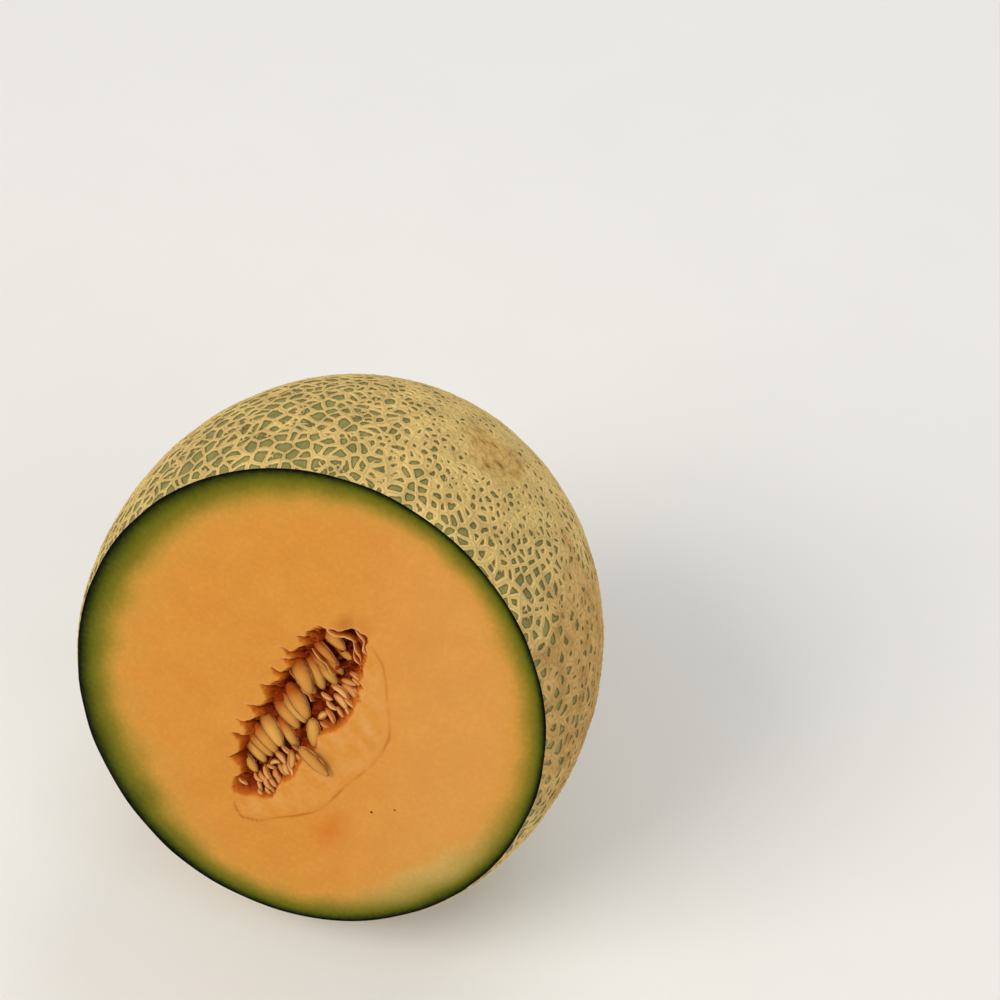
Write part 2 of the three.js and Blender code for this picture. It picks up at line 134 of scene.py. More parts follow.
# Seeds that lie deeper, half hidden by the pulp, which the solid leaves out.
DEEP_PLACES = (
    (12.4, 1.0, 16, 2, -10, 4.9, 0.8),
    (16.2, 1.6, 12, 4, -12, 5.2, 0.74),
    (21.6, 0.6, -4, 4, -12, 5.4, 0.6),
    (4.6, 3.6, 30, 2, -10, 5.4, 0.8),
    (-13.0, -2.4, 20, 2, -10, 5.0, 0.72),
    (-19.4, 0.6, 22, 2, -10, 5.2, 0.7),
)

# The small seeds that never filled out, by the u, v, turn and length of each.
YOUNG_SWELL = 1.25  # how much longer they are drawn, because the solid's are kept apart
YOUNG_SIZE = (1.0, 0.42, 0.3)  # for a length of 1
YOUNG_STEPS = (14, 14)
YOUNG_DEPTH = 2.0
YOUNG_SHAKES = {"rise": (-12, 14), "roll": (-34, 26), "bend": (-0.8, 0.8), "depth": (-0.5, 0.5)}
YOUNG_PLACES = (
    (18.7, -6.8, 15, 3.2), (17.2, -5.0, -16, 3.8), (15.3, -6.9, 9, 5.0), (13.0, -5.0, 9, 5.2),
    (11.2, -9.0, 6, 3.8), (9.8, -6.9, 21, 5.0), (7.2, -2.9, -19, 3.4), (5.8, -8.6, 18, 3.2),
    (5.4, -5.5, 4, 3.6), (3.0, -7.5, 29, 4.5), (0.7, -5.4, -83, 4.2), (-1.4, -7.8, 0, 3.2),
    (-16.0, -5.9, 5, 2.8), (-17.3, -8.5, 11, 2.8), (-18.7, -4.3, 3, 3.9), (-19.6, -6.9, 57, 5.0),
    (-21.5, -4.3, 22, 4.2), (-23.5, -9.0, 24, 2.8), (-24.4, -7.4, 41, 4.3), (-25.2, -3.6, -54, 3.0),
    (-26.1, -6.8, 35, 4.0), (-27.9, -4.1, -15, 2.8), (-28.7, -6.6, 25, 4.0), (-31.1, -4.2, 23, 4.7),
    (-31.9, -7.4, 28, 3.7), (-34.1, -6.0, 34, 4.2), (-35.1, -3.0, 7, 3.4), (-36.1, -7.8, 24, 3.2),
    (-37.1, -5.0, 36, 3.2), (-39.8, -0.1, 9, 3.3), (-40.6, -5.6, 11, 2.4),
    (20.6, -5.4, -12, 3.8), (16.4, -8.6, 12, 3.4), (14.0, -8.4, 16, 3.8), (12.0, -7.0, 18, 4.0),
    (8.4, -9.6, 20, 3.0), (-20.4, -9.2, 20, 3.0), (-22.6, -7.0, 32, 4.0), (-26.8, -9.2, 24, 3.2),
    (-29.8, -8.4, 30, 3.4), (-33.2, -4.0, 14, 3.6), (-34.6, -8.8, 28, 3.0), (-38.6, -6.6, 20, 3.0),
)

# The green band's wider and narrower places: the heading in degrees, the width in radians and how much.
BAND_LOBES = ((-49.0, 0.3, 0.38), (-20.0, 0.25, 0.12), (-140.0, 0.36, 0.44), (72.0, 0.36, -0.3))

# Soft spots of painted shade by the slit's blossom end and of redder flesh: the u and v of each, its widths
# along both and its share.
SHADE_PATCHES = ((34.5, 6.4, 3.4, 2.2, 1.0), (37.5, 2.0, 2.6, 3.0, 0.5))
BLUSHES = ((-31.8, -28.8, 8.0, 4.0, 1.0),)

# The pulp's lens: its middle and its reach in u and v, how v climbs with u, and its depths.
PULP_MIDDLE = (-4.5, 1.2)
PULP_REACH = (39.0, 11.0)
PULP_SLANT = 0.07
PULP_TOP = 6.2
PULP_UNDERSIDE = 12.5

# Thin skins standing in the slit, by their upper edges, and how tall each is and how deep its edge lies.
MEMBRANES = (
    dict(path=((28.8, 11.4), (28.4, 8.4), (29.2, 5.2), (30.4, 2.8), (30.2, 0.6)), tall=4.5, top=0.5),
    dict(path=((34.4, 3.4), (33.7, 1.0), (32.6, -1.2), (29.8, -3.8), (25.9, -5.2)), tall=4.0, top=0.1),
    dict(path=((30.4, 2.2), (29.0, -0.4), (27.2, -2.7), (24.8, -4.8)), tall=4.5, top=1.2),
    dict(path=((26.6, 0.0), (25.2, -2.0), (23.8, -4.2), (21.8, -5.8)), tall=4.0, top=1.6),
    dict(path=((17.4, 9.6), (16.6, 7.2), (15.7, 4.4), (15.2, 1.6), (15.0, -0.9)), tall=3.0, top=2.9),
    dict(path=((7.0, 10.2), (5.0, 7.4), (3.7, 4.4), (2.8, 1.4), (2.0, -0.8)), tall=3.0, top=2.6),
)
CRUMBS = ((-15.9, -34.2, 0.42), (-9.7, -38.7, 0.34))  # brown specks on the flesh, and how large each is

# Colour stops: the flesh from the skin inwards, the slit's walls and the pulp from the edge down, darker with
# depth as painted shade, and the husk's rim and the small seeds from the middle of the flat side out, darker
# towards the rim as painted shade with a pale painted highlight on the rim itself.
BAND_COLOURS = (
    (0.0, "040500"), (0.014, "131802"), (0.036, "283004"), (0.07, "434907"), (0.11, "5a5b10"),
    (0.15, "6b6816"), (0.205, "7e711f"), (0.25, "947d26"), (0.31, "ae8833"), (0.36, "c08f3b"),
    (0.43, "d0943f"), (1.0, "d6933d"),
)
WALL_DEPTH_SHADE = ((0.0, "d48a3a"), (0.07, "cc7626"), (0.2, "b05812"), (0.42, "8c3004"), (0.75, "661a02"))
PULP_AND_SHADE_COLOURS = ((0.0, "e8ac68"), (0.14, "d08030"), (0.36, "a84e0a"), (0.62, "822c04"), (1.0, "561602"))
RIM_SHADE_AND_HIGHLIGHT = ((0.9, "8e4c14"), (1.0, "e4ae68"))
YOUNG_COLOURS_SHADE_AND_HIGHLIGHT = ((0.0, "f2c888"), (0.5, "e0a458"), (0.85, "ae6420"), (1.0, "e4b06c"))

# How a mixing node lays one colour over another.
BLEND = {"out": 2, "data_type": "RGBA"}
MULTIPLY = {**BLEND, "blend_type": "MULTIPLY"}


def uprightly(degrees, back=0.0):
    """A direction that leans to the right of the cut face's upright, and back out of its plane."""
    lean, away = np.radians(degrees), np.radians(back)
    return np.array([np.sin(lean) * np.cos(away), np.sin(away), np.cos(lean) * np.cos(away)])


OUT = np.array([0.0, -1.0, 0.0])
LONG_AXIS = uprightly(LONG_AXIS_LEAN)
ALONG = uprightly(POLE_LEAN)
ACROSS = np.cross(OUT, ALONG)
BLOSSOM = uprightly(POLE_LEAN, POLE_BACK)
STEM = -BLOSSOM
REST_BACK = np.array([0.0, np.sin(np.radians(32.0)), -np.cos(np.radians(32.0))])  # the fuller lower back
FLANK = np.array([0.98, -0.086, 0.178])  # the middle of the browned place on the right

# The skin's low swellings and dishes: the middle, the width in degrees and the rise in millimetres.
SWELLINGS = (
    (REST_BACK, 24.0, 6.5),
    (BLOSSOM, 13.0, -1.6),
    (STEM, 13.0, 1.5),
    (STEM, 5.2, -3.4),
)


class RindSettings(bpy.types.PropertyGroup):
    """The netted rind."""

    cell_size: bpy.props.FloatProperty(
        name="Cell size", description="Mean width of the cells", default=0.0043, min=0.002, unit="LENGTH"
    )
    ridge_width: bpy.props.FloatProperty(
        name="Ridge width", description="Width of the ridges", default=0.00125, min=0.0004, unit="LENGTH"
    )
    ridge_height: bpy.props.FloatProperty(
        name="Ridge height", description="Height of the ridges over the skin", default=0.0005, unit="LENGTH"
    )
    cork: bpy.props.FloatVectorProperty(
        name="Cork", description="Colour of the ridges", default=(0.66, 0.475, 0.17), subtype="COLOR"
    )
    skin: bpy.props.FloatVectorProperty(
        name="Skin", description="Colour in the cells", default=(0.25, 0.232, 0.067), subtype="COLOR"
    )


class FleshSettings(bpy.types.PropertyGroup):
    """The cut face and the slit in it."""

    green_band: bpy.props.FloatProperty(
        name="Green band", description="Depth of the green", default=0.0085, min=0.002, unit="LENGTH"
    )
    slit_depth: bpy.props.FloatProperty(
        name="Slit depth", description="Depth of the seed slit", default=0.0085, min=0.002, unit="LENGTH"
    )
    flesh: bpy.props.FloatVectorProperty(
        name="Flesh", description="Colour of the ripe flesh", default=(0.72, 0.32, 0.055), subtype="COLOR"
    )


class SeedSettings(bpy.types.PropertyGroup):
    """The seeds."""

    coat: bpy.props.FloatVectorProperty(
        name="Seed coat", description="Colour of the plump seeds", default=(0.72, 0.4, 0.085), subtype="COLOR"
    )
    wetness: bpy.props.FloatProperty(
        name="Wetness", description="Strength of the gloss", default=0.16, min=0.0, max=1.0, subtype="FACTOR"
    )


class StageSettings(bpy.types.PropertyGroup):
    """The floor and the light."""

    floor: bpy.props.FloatVectorProperty(
        name="Floor", description="Colour of the floor", default=(0.86, 0.86, 0.85), subtype="COLOR"
    )
    key_power: bpy.props.FloatProperty(
        name="Key light", description="Power of the large soft light", default=12.5, min=0.0, unit="POWER"
    )


def linear(hex_colour):
    """An sRGB colour such as "c8a050" as linear red, green, blue and alpha."""
    parts = [int(hex_colour[i : i + 2], 16) / 255 for i in (0, 2, 4)]
    return tuple(c / 12.92 if c <= 0.04045 else ((c + 0.055) / 1.055) ** 2.4 for c in parts) + (1.0,)


def tints(colour, *stops):
    """Ramp stops of one linear colour, each at its place and made darker or lighter by its share."""
    return [(place, (*(share * c for c in colour), 1.0)) for place, share in stops]


def unit(vectors):
    """Vectors at length one."""
    return vectors / np.linalg.norm(vectors, axis=-1, keepdims=True)


def smooth_step(low, high, values):
    """0 below low, 1 above high and an S curve between them."""
    share = np.clip((values - low) / (high - low), 0.0, 1.0)
    return share * share * (3.0 - 2.0 * share)


def bell(*shares):
    """A bell curve, exp(-(a^2 + b^2)), of one or two distances, each as a share of the curve's width."""
    return np.exp(-sum(share**2 for share in shares))


def hump(directions, middle, width):
    """A bell curve of the angle from the middle direction, its width in degrees."""
    return bell(np.degrees(np.arccos(np.clip(directions @ middle, -1.0, 1.0))) / width)


def blotches(u, v, rows):
    """Soft spots on the cut face: each row has its middle's u and v, its widths along both and its share."""
    return sum(share * bell((u - u0) / wide, (v - v0) / tall) for u0, v0, wide, tall, share in rows)


def ripples(points, wavelength, seed, waves=10):
    """Soft noise of about -2 to 2: the sum of plane sine waves of seeded directions and similar lengths."""
    draws = np.random.default_rng(seed)
    headings = unit(draws.normal(size=(waves, points.shape[-1])))
    lengths = wavelength * draws.uniform(0.7, 1.5, waves)
    phases = draws.uniform(0.0, 2.0 * np.pi, waves)
    turns = points @ (headings / lengths[:, None]).T * (2.0 * np.pi) + phases
    return np.sin(turns).sum(axis=-1) / np.sqrt(waves / 2.0)


def to_row(points):
    """Points of the fruit's own frame, in millimetres, leant back and stood in the row frame, in metres. What
    would sink below the floor is pressed flat on it: that is the spot that the fruit rests on."""
    lean = np.radians(-CUT_LEAN)
    turn = np.array(
        [[1.0, 0.0, 0.0], [0.0, np.cos(lean), -np.sin(lean)], [0.0, np.sin(lean), np.cos(lean)]]
    )
    stood = (points @ turn.T + np.array(FRUIT_MIDDLE)) * MM
    stood[..., 2] = np.maximum(stood[..., 2], 0.0)
    return stood


def on_face(u, v, depth):
    """Places on the cut face, u along the slit and v across it, sunk below the face by a depth."""
    return (
        np.multiply.outer(u, ALONG)
        + np.multiply.outer(v, ACROSS)
        + np.multiply.outer(CUT_OFFSET - depth, OUT)
    )


def grid_faces(rows, columns, around=False):
    """The quads of a grid of points, row by row, whose columns may close on themselves."""
    top = np.arange(rows - 1)[:, None] * columns
    left = np.arange(columns if around else columns - 1)[None, :]
    right = (left + 1) % columns
    return np.stack([top + left, top + columns + left, top + columns + right, top + right], -1).reshape(-1, 4)


def add_object(name, data):
    """Puts an object in the scene for a mesh, a light or a camera."""
    added = bpy.data.objects.new(name, data)
    bpy.context.scene.collection.objects.link(added)
    return added


def make_piece(name, points, faces, material, replaces, attributes=None, normals=None):
    """A mesh piece of the melon from points in the fruit's frame and faces of four corners, or of three where
    the last is -1. Attributes are one number a point, and normals, where given, keep the shading whole across
    the edges of neighbouring pieces."""
    mesh = bpy.data.meshes.new(name)
    corners = faces[faces >= 0]
    sizes = (faces >= 0).sum(axis=1)
    mesh.vertices.add(len(points))
    mesh.vertices.foreach_set("co", to_row(points).astype(np.float32).ravel())
    mesh.loops.add(len(corners))
    mesh.loops.foreach_set("vertex_index", corners.astype(np.int32))
    mesh.polygons.add(len(faces))
    mesh.polygons.foreach_set("loop_start", (np.cumsum(sizes) - sizes).astype(np.int32))
    mesh.polygons.foreach_set("use_smooth", np.ones(len(faces), dtype=bool))
    for key, values in (attributes or {}).items():
        layer = mesh.attributes.new(key, "FLOAT", "POINT")
        layer.data.foreach_set("value", np.asarray(values, dtype=np.float32).ravel())
    mesh.update(calc_edges=True)
    if mesh.validate():
        raise RuntimeError(name + " has faces that are not sound")
    if normals is not None:
        mesh.normals_split_custom_set_from_vertices(normals.tolist())
    mesh.materials.append(material)
    piece = add_object(name, mesh)
    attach(piece, "root")
    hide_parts(*replaces)


def closed_grid(grid, numbers):
    """A grid of shape rows, columns, 3 whose columns close and whose first and last rows are each drawn
    together into one point: the points, the faces, and the numbers of the points that are left."""
    rows, columns = grid.shape[:2]

    def kept(values):
        return np.concatenate([values[:1, 0], values[1:-1].reshape(-1, *values.shape[2:]), values[-1:, 0]])

    ring = np.arange(columns)
    after = (ring + 1) % columns
    none = np.full(columns, -1)
    last_ring = 1 + (rows - 3) * columns
    first = np.stack([0 * ring, 1 + ring, 1 + after, none], -1)
    inner = 1 + grid_faces(rows - 2, columns, around=True)
    last = np.stack([last_ring + ring, 0 * ring + last_ring + columns, last_ring + after, none], -1)
    faces = np.concatenate([first, inner, last])
    return kept(grid), faces, {key: kept(values) for key, values in numbers.items()}


def joined(bodies):
    """Several closed grids as one: their points, faces and numbers, one after the other."""
    points, faces, numbers = [], [], {}
    start = 0
    for body_points, body_faces, body_numbers in bodies:
        faces.append(np.where(body_faces >= 0, body_faces + start, -1))
        points.append(body_points)
        start += len(body_points)
        for key, values in body_numbers.items():
            numbers.setdefault(key, []).append(values)
    return np.concatenate(points), np.concatenate(faces), {k: np.concatenate(v) for k, v in numbers.items()}


def add_node(tree, kind, inputs=None, stops=(), out=0, **settings):
    """Adds a node and gives one of its outputs. An input is a value or another node's output, stops are the
    places of a colour ramp with sRGB colours, grey values or linear colours, and settings are properties."""
    node = tree.nodes.new("ShaderNode" + kind)
    for name, value in settings.items():
        setattr(node, name, value)
    for name, value in (inputs or {}).items():
        if isinstance(value, bpy.types.NodeSocket):
            tree.links.new(value, node.inputs[name])
        else:
            node.inputs[name].default_value = value
    for i, (place, colour) in enumerate(stops):
        elements = node.color_ramp.elements
        stop = elements[i] if i < 2 else elements.new(place)
        stop.position = place
        grey = isinstance(colour, float)
        stop.color = linear(colour) if isinstance(colour, str) else (*[colour] * 3, 1.0) if grey else colour
    return node.outputs[out] if node.outputs else None


def new_material(name, *keys):
    """A material with its tree, its shader, the place in millimetres and the points' numbers of the keys."""
    material = bpy.data.materials.new(name)
    material.use_nodes = True
    tree = material.node_tree
    tree.nodes.clear()
    surface = add_node(tree, "BsdfPrincipled")
    add_node(tree, "OutputMaterial", {"Surface": surface})
    metres = add_node(tree, "TexCoord", out="Object")
    place = add_node(tree, "VectorMath", {0: metres, "Scale": 1.0 / MM}, operation="SCALE")
    numbers = [add_node(tree, "Attribute", out="Fac", attribute_name=key) for key in keys]
    return material, tree, surface.node, place, *numbers


def dress(tree, shader, colour, height, strength, distance, values):
    """Gives a shader its colour, a bump from a height and its constant values."""
    tree.links.new(colour, shader.inputs["Base Color"])
    bump = add_node(tree, "Bump", {"Strength": strength, "Distance": distance, "Height": height})
    tree.links.new(bump, shader.inputs["Normal"])
    for name, value in values.items():
        shader.inputs[name].default_value = value


def rind_material(settings):
    """Netted rind: dry corky ridges, straw coloured with a browner crack along the crest, with painted shade
    darkening their feet and the cells' edges, over a faintly waxy olive skin. Cork scatters light evenly and
    the skin shines a little."""
    keys = ("net", "crest", "russet", "cork")
    material, tree, shader, place, net, crest, russet, button = new_material("netted cork rind", *keys)
    fray, mottle, grain, scar = (
        add_node(tree, "TexNoise", {"Vector": place, "Scale": scale, "Detail": detail})
        for scale, detail in ((1.3, 4.0), (0.16, 5.0), (3.2, 3.0), (0.28, 6.0))
    )
    frayed = add_node(tree, "Math", {0: fray, 1: 0.3, 2: net}, operation="MULTIPLY_ADD")
    ridge = add_node(tree, "MapRange", {"Value": frayed, "From Min": -0.85, "From Max": 1.15})
    crack = add_node(tree, "Math", {0: grain, 1: 0.25, 2: crest}, operation="MULTIPLY_ADD")
    skin, cork, tan, cracked, foot, share, speck, scarred, profile = (
        add_node(tree, "ValToRGB", {"Fac": value}, stops)
        for value, stops in (
            (mottle, tints(settings.skin, (0.3, 0.78), (0.5, 1.0), (0.72, 1.3))),
            (mottle, tints(settings.cork, (0.28, 0.82), (0.5, 1.0), (0.75, 1.16))),
            (mottle, ((0.3, "a0763a"), (0.5, "b88f50"), (0.75, "cba668"))),
            (crack, ((0.16, 0.74), (0.34, 0.96), (0.58, 1.08))),
            # foot: painted shade along each cell's edge and the ridge's foot, with a slightly paler lip above
            # it
            (ridge, ((0.3, 1.0), (0.45, 0.5), (0.53, 0.6), (0.6, 1.04), (0.72, 1.0))),
            (ridge, ((0.46, 0.0), (0.53, 1.0))),
            (grain, ((0.3, 0.82), (0.5, 1.0), (0.7, 1.08))),
            (scar, ((0.33, "b49468"), (0.4, "dccbaa"), (0.48, "f4eee0"), (0.68, "fffaf0"))),
            (ridge, ((0.38, 0.0), (0.56, 0.8), (0.75, 1.0))),
        )
    )
    browned = add_node(tree, "Mix", {"Factor": russet, 6: cork, 7: tan}, **BLEND)
    crested = add_node(tree, "Mix", {"Factor": 1.0, 6: browned, 7: cracked}, **MULTIPLY)
    colour = add_node(tree, "Mix", {"Factor": share, 6: skin, 7: crested}, **BLEND)
    # multiplies in the painted shade at the ridges' feet, the grain's specks and the pale scars at the ends
    for factor, wash in ((1.0, foot), (0.8, speck), (button, scarred)):
        colour = add_node(tree, "Mix", {"Factor": factor, 6: colour, 7: wash}, **MULTIPLY)
    rough = add_node(tree, "MapRange", {"Value": share, "To Min": 0.46, "To Max": 0.82})
    tree.links.new(rough, shader.inputs["Roughness"])
    height = add_node(tree, "Math", {0: grain, 1: 0.35, 2: profile}, operation="MULTIPLY_ADD")
    dress(tree, shader, colour, height, 0.5, 0.3 * MM, {"Specular IOR Level": 0.2})
    return material


def flesh_material(settings):
    """Ripe melon flesh: wet, slightly glassy and orange, passing through yellow and olive into a dark green
    line under the skin. Down in the slit it turns amber and then a deep red brown: a slightly deeper amber at
    the edge, then painted shade that grows with the depth. The thin lips along the slit stay pale."""
    keys = ("skin", "hollow", "lip", "line", "film", "unripe", "shade_patch", "blush")
    material, tree, shader, place, *numbers = new_material("ripe melon flesh", *keys)
    skin, hollow, lip, line, film, unripe, shade_patch, blush = numbers
    cloud = add_node(tree, "TexNoise", {"Vector": place, "Scale": 0.09, "Detail": 4.0})
    fine = add_node(tree, "TexNoise", {"Vector": place, "Scale": 0.7, "Detail": 5.0})
    wander = add_node(tree, "Math", {0: fine, 1: 0.12, 2: skin}, operation="MULTIPLY_ADD")
    sunk = add_node(tree, "Math", {0: fine, 1: 0.9, 2: hollow}, operation="MULTIPLY_ADD")
    pale = add_node(tree, "Math", {0: lip, 1: 0.75}, operation="MULTIPLY")
    depth = add_node(tree, "MapRange", {"Value": wander, "From Min": 0.06, "From Max": 3.06})
    inner = add_node(tree, "MapRange", {"Value": depth, "From Min": 0.4, "From Max": 0.75})
    share = add_node(tree, "MapRange", {"Value": sunk, "From Min": 0.45, "From Max": 7.45})
    inside = add_node(tree, "MapRange", {"Value": hollow, "From Min": 0.1, "From Max": 0.6})
    ripe, fresh = (*settings.flesh, 1.0), linear("d08735")
    tone = add_node(tree, "Mix", {"Factor": cloud, 6: fresh, 7: ripe}, **BLEND)
    fleck = add_node(tree, "ValToRGB", {"Fac": fine}, ((0.3, 0.965), (0.52, 1.0), (0.7, 1.06)))
    colour = add_node(tree, "ValToRGB", {"Fac": depth}, BAND_COLOURS)
    # the walls' colour by depth: a deeper amber at the edge, then painted shade deepening down the slit
    wall_shade = add_node(tree, "ValToRGB", {"Fac": share}, WALL_DEPTH_SHADE)
    layers = (
        (inner, tone, BLEND),
        (unripe, linear("ccb26a"), BLEND),
        (1.0, fleck, MULTIPLY),
        (line, linear("dcb084"), MULTIPLY),
        # painted shade by the slit's blossom end
        (shade_patch, linear("e4ccb4"), MULTIPLY),
        (blush, linear("fce0c4"), MULTIPLY),
        (film, linear("e4b070"), BLEND),
        (inside, wall_shade, BLEND),
        (pale, linear("e2a06c"), BLEND),
    )
    for factor, layer, way in layers:
        colour = add_node(tree, "Mix", {"Factor": factor, 6: colour, 7: layer}, **way)
    values = {
        "Roughness": 0.45,
        "Specular IOR Level": 0.04,
        "Subsurface Weight": 0.12,
        "Subsurface Radius": (1.0, 0.4, 0.12),
        "Subsurface Scale": 0.8 * MM,
    }
    dress(tree, shader, colour, fine, 0.3, 0.2 * MM, values)
    return material


def pulp_material():
    """The wet threads that hold the seeds: a jelly, orange near the top and red brown deeper down, where
    painted shade darkens it.
    """
    material, tree, shader, place, hollow = new_material("wet seed pulp", "hollow")
    fine = add_node(tree, "TexNoise", {"Vector": place, "Scale": 0.8, "Detail": 4.0})
    wander = add_node(tree, "Math", {0: fine, 1: 2.4, 2: hollow}, operation="MULTIPLY_ADD")
    sunk = add_node(tree, "MapRange", {"Value": wander, "From Min": 1.8, "From Max": 9.0})
    # the pulp's colour by depth: orange near the top, then painted shade deeper down; the specks take the
    # dark end
    colour = add_node(tree, "ValToRGB", {"Fac": sunk}, PULP_AND_SHADE_COLOURS)
    values = {
        "Roughness": 0.4,
        "Specular IOR Level": 0.09,
        "Subsurface Weight": 0.2,
        "Subsurface Radius": (1.0, 0.35, 0.1),
        "Subsurface Scale": 2.0 * MM,
    }
    dress(tree, shader, colour, fine, 0.5, 0.4 * MM, values)
    return material


def seed_material(settings, name, stops):
    """A seed in its wet coat: a smooth cream husk that lets a little light through, under a film of amber
    juice.
    Its colour darkens towards the rim as painted shade, and the rim itself takes a pale painted highlight.
    Stops give the colour from the middle of its flat side out to the rim."""
    material, tree, shader, place, rim, tone = new_material(name, "rim", "tone")
    grain = add_node(tree, "TexNoise", {"Vector": place, "Scale": 0.9, "Detail": 4.0})
    wander = add_node(tree, "Math", {0: grain, 1: 0.3, 2: rim}, operation="MULTIPLY_ADD")
    moved = add_node(tree, "Math", {0: wander, 1: 0.15}, operation="SUBTRACT")
    husk = add_node(tree, "ValToRGB", {"Fac": moved}, stops)
    # tone darkens the husk: at random, near the blossom end, and by painted shade on the blunt end
    colour = add_node(tree, "Mix", {"Factor": tone, 6: husk, 7: linear("c87a34")}, **MULTIPLY)
    values = {
        "Roughness": 0.34,
        "IOR": 1.45,
        "Coat Weight": settings.wetness,
        "Coat Tint": (0.96, 0.8, 0.5, 1.0),
        "Coat Roughness": 0.07,
        "Specular IOR Level": 0.04,
        "Subsurface Weight": 0.2,
        "Subsurface Radius": (1.0, 0.6, 0.25),
        "Subsurface Scale": 1.2 * MM,
    }
    dress(tree, shader, colour, grain, 0.25, 0.2 * MM, values)
    return material


def skin_points(directions, height):
    """The fruit's skin: the unit sphere stretched along the long axis, then pushed out along its own normal
    by the swellings and dishes and by a height."""
    along = directions @ LONG_AXIS
    points = ACROSS_RADIUS * directions + np.multiply.outer(along * (LONG_RADIUS - ACROSS_RADIUS), LONG_AXIS)
    stretch = along * (1.0 / LONG_RADIUS - 1.0 / ACROSS_RADIUS)
    normals = unit(directions / ACROSS_RADIUS + np.multiply.outer(stretch, LONG_AXIS))
    swelling = sum(rise * hump(directions, middle, width) for middle, width, rise in SWELLINGS)
    return points + normals * (swelling + height)[..., None]


def cell_middles(spacing, crowding, reach, shake, seed):
    """The middles of the net's cells: a sunflower spiral from the blossom end to the stem end, whose
    spacing in millimetres shrinks to its crowding share over a reach in degrees round both ends, shaken by
    seeded draws."""
    draws = np.random.default_rng(seed)
    angles = np.linspace(0.0, np.pi, 4001)
    degrees = np.degrees(angles)
    near = bell(degrees / reach) + 0.5 * bell((180 - degrees) / reach)
    density = 1.0 + (crowding**-2 - 1.0) * near
    share = np.cumsum(density * np.sin(angles))
    count = int(2 * np.pi * MEAN_RADIUS**2 * share[-1] * (angles[1] - angles[0]) / spacing**2)
    from_pole = np.interp((np.arange(count) + 0.5) / count, share / share[-1], angles)
    turn = np.arange(count) * np.pi * (3.0 - np.sqrt(5.0))
    side = unit(np.cross(BLOSSOM, OUT))
    ahead = np.cross(BLOSSOM, side)
    middles = (
        np.multiply.outer(np.cos(from_pole), BLOSSOM)
        + np.multiply.outer(np.sin(from_pole) * np.cos(turn), side)
        + np.multiply.outer(np.sin(from_pole) * np.sin(turn), ahead)
    )
    local = spacing / MEAN_RADIUS / np.sqrt(np.interp(from_pole, angles, density))
    return unit(middles + draws.uniform(-1.0, 1.0, (count, 3)) * (shake * local)[:, None])


def border_distance(directions, middles):
    """For a grid of directions, the distance in millimetres to the nearest border between two cells: that to
    the plane half way between the nearest middle and each other one. It works tile by tile, with the middles
    that can matter to the tile."""
    found = np.empty(directions.shape[:2])
    for top in range(0, directions.shape[0], TILE):
        for left in range(0, directions.shape[1], TILE):
            tile = directions[top : top + TILE, left : left + TILE]
            spots = tile.reshape(-1, 3)
            centre = unit(spots.mean(axis=0))
            reach = np.arccos(np.clip((spots @ centre).min(), -1.0, 1.0)) + CELL_REACH / MEAN_RADIUS
            near = middles[middles @ centre > np.cos(reach)]
            squares = 2.0 - 2.0 * spots @ near.T
            nearest = squares.argmin(axis=1)
            gaps = np.sqrt(np.maximum(2.0 - 2.0 * near @ near.T, 1e-12))
            beyond = (squares - squares.min(axis=1)[:, None]) / (2.0 * gaps[nearest])
            beyond[np.arange(len(spots)), nearest] = np.inf
            found[top : top + TILE, left : left + TILE] = beyond.min(axis=1).reshape(tile.shape[:2])
    return found * MEAN_RADIUS


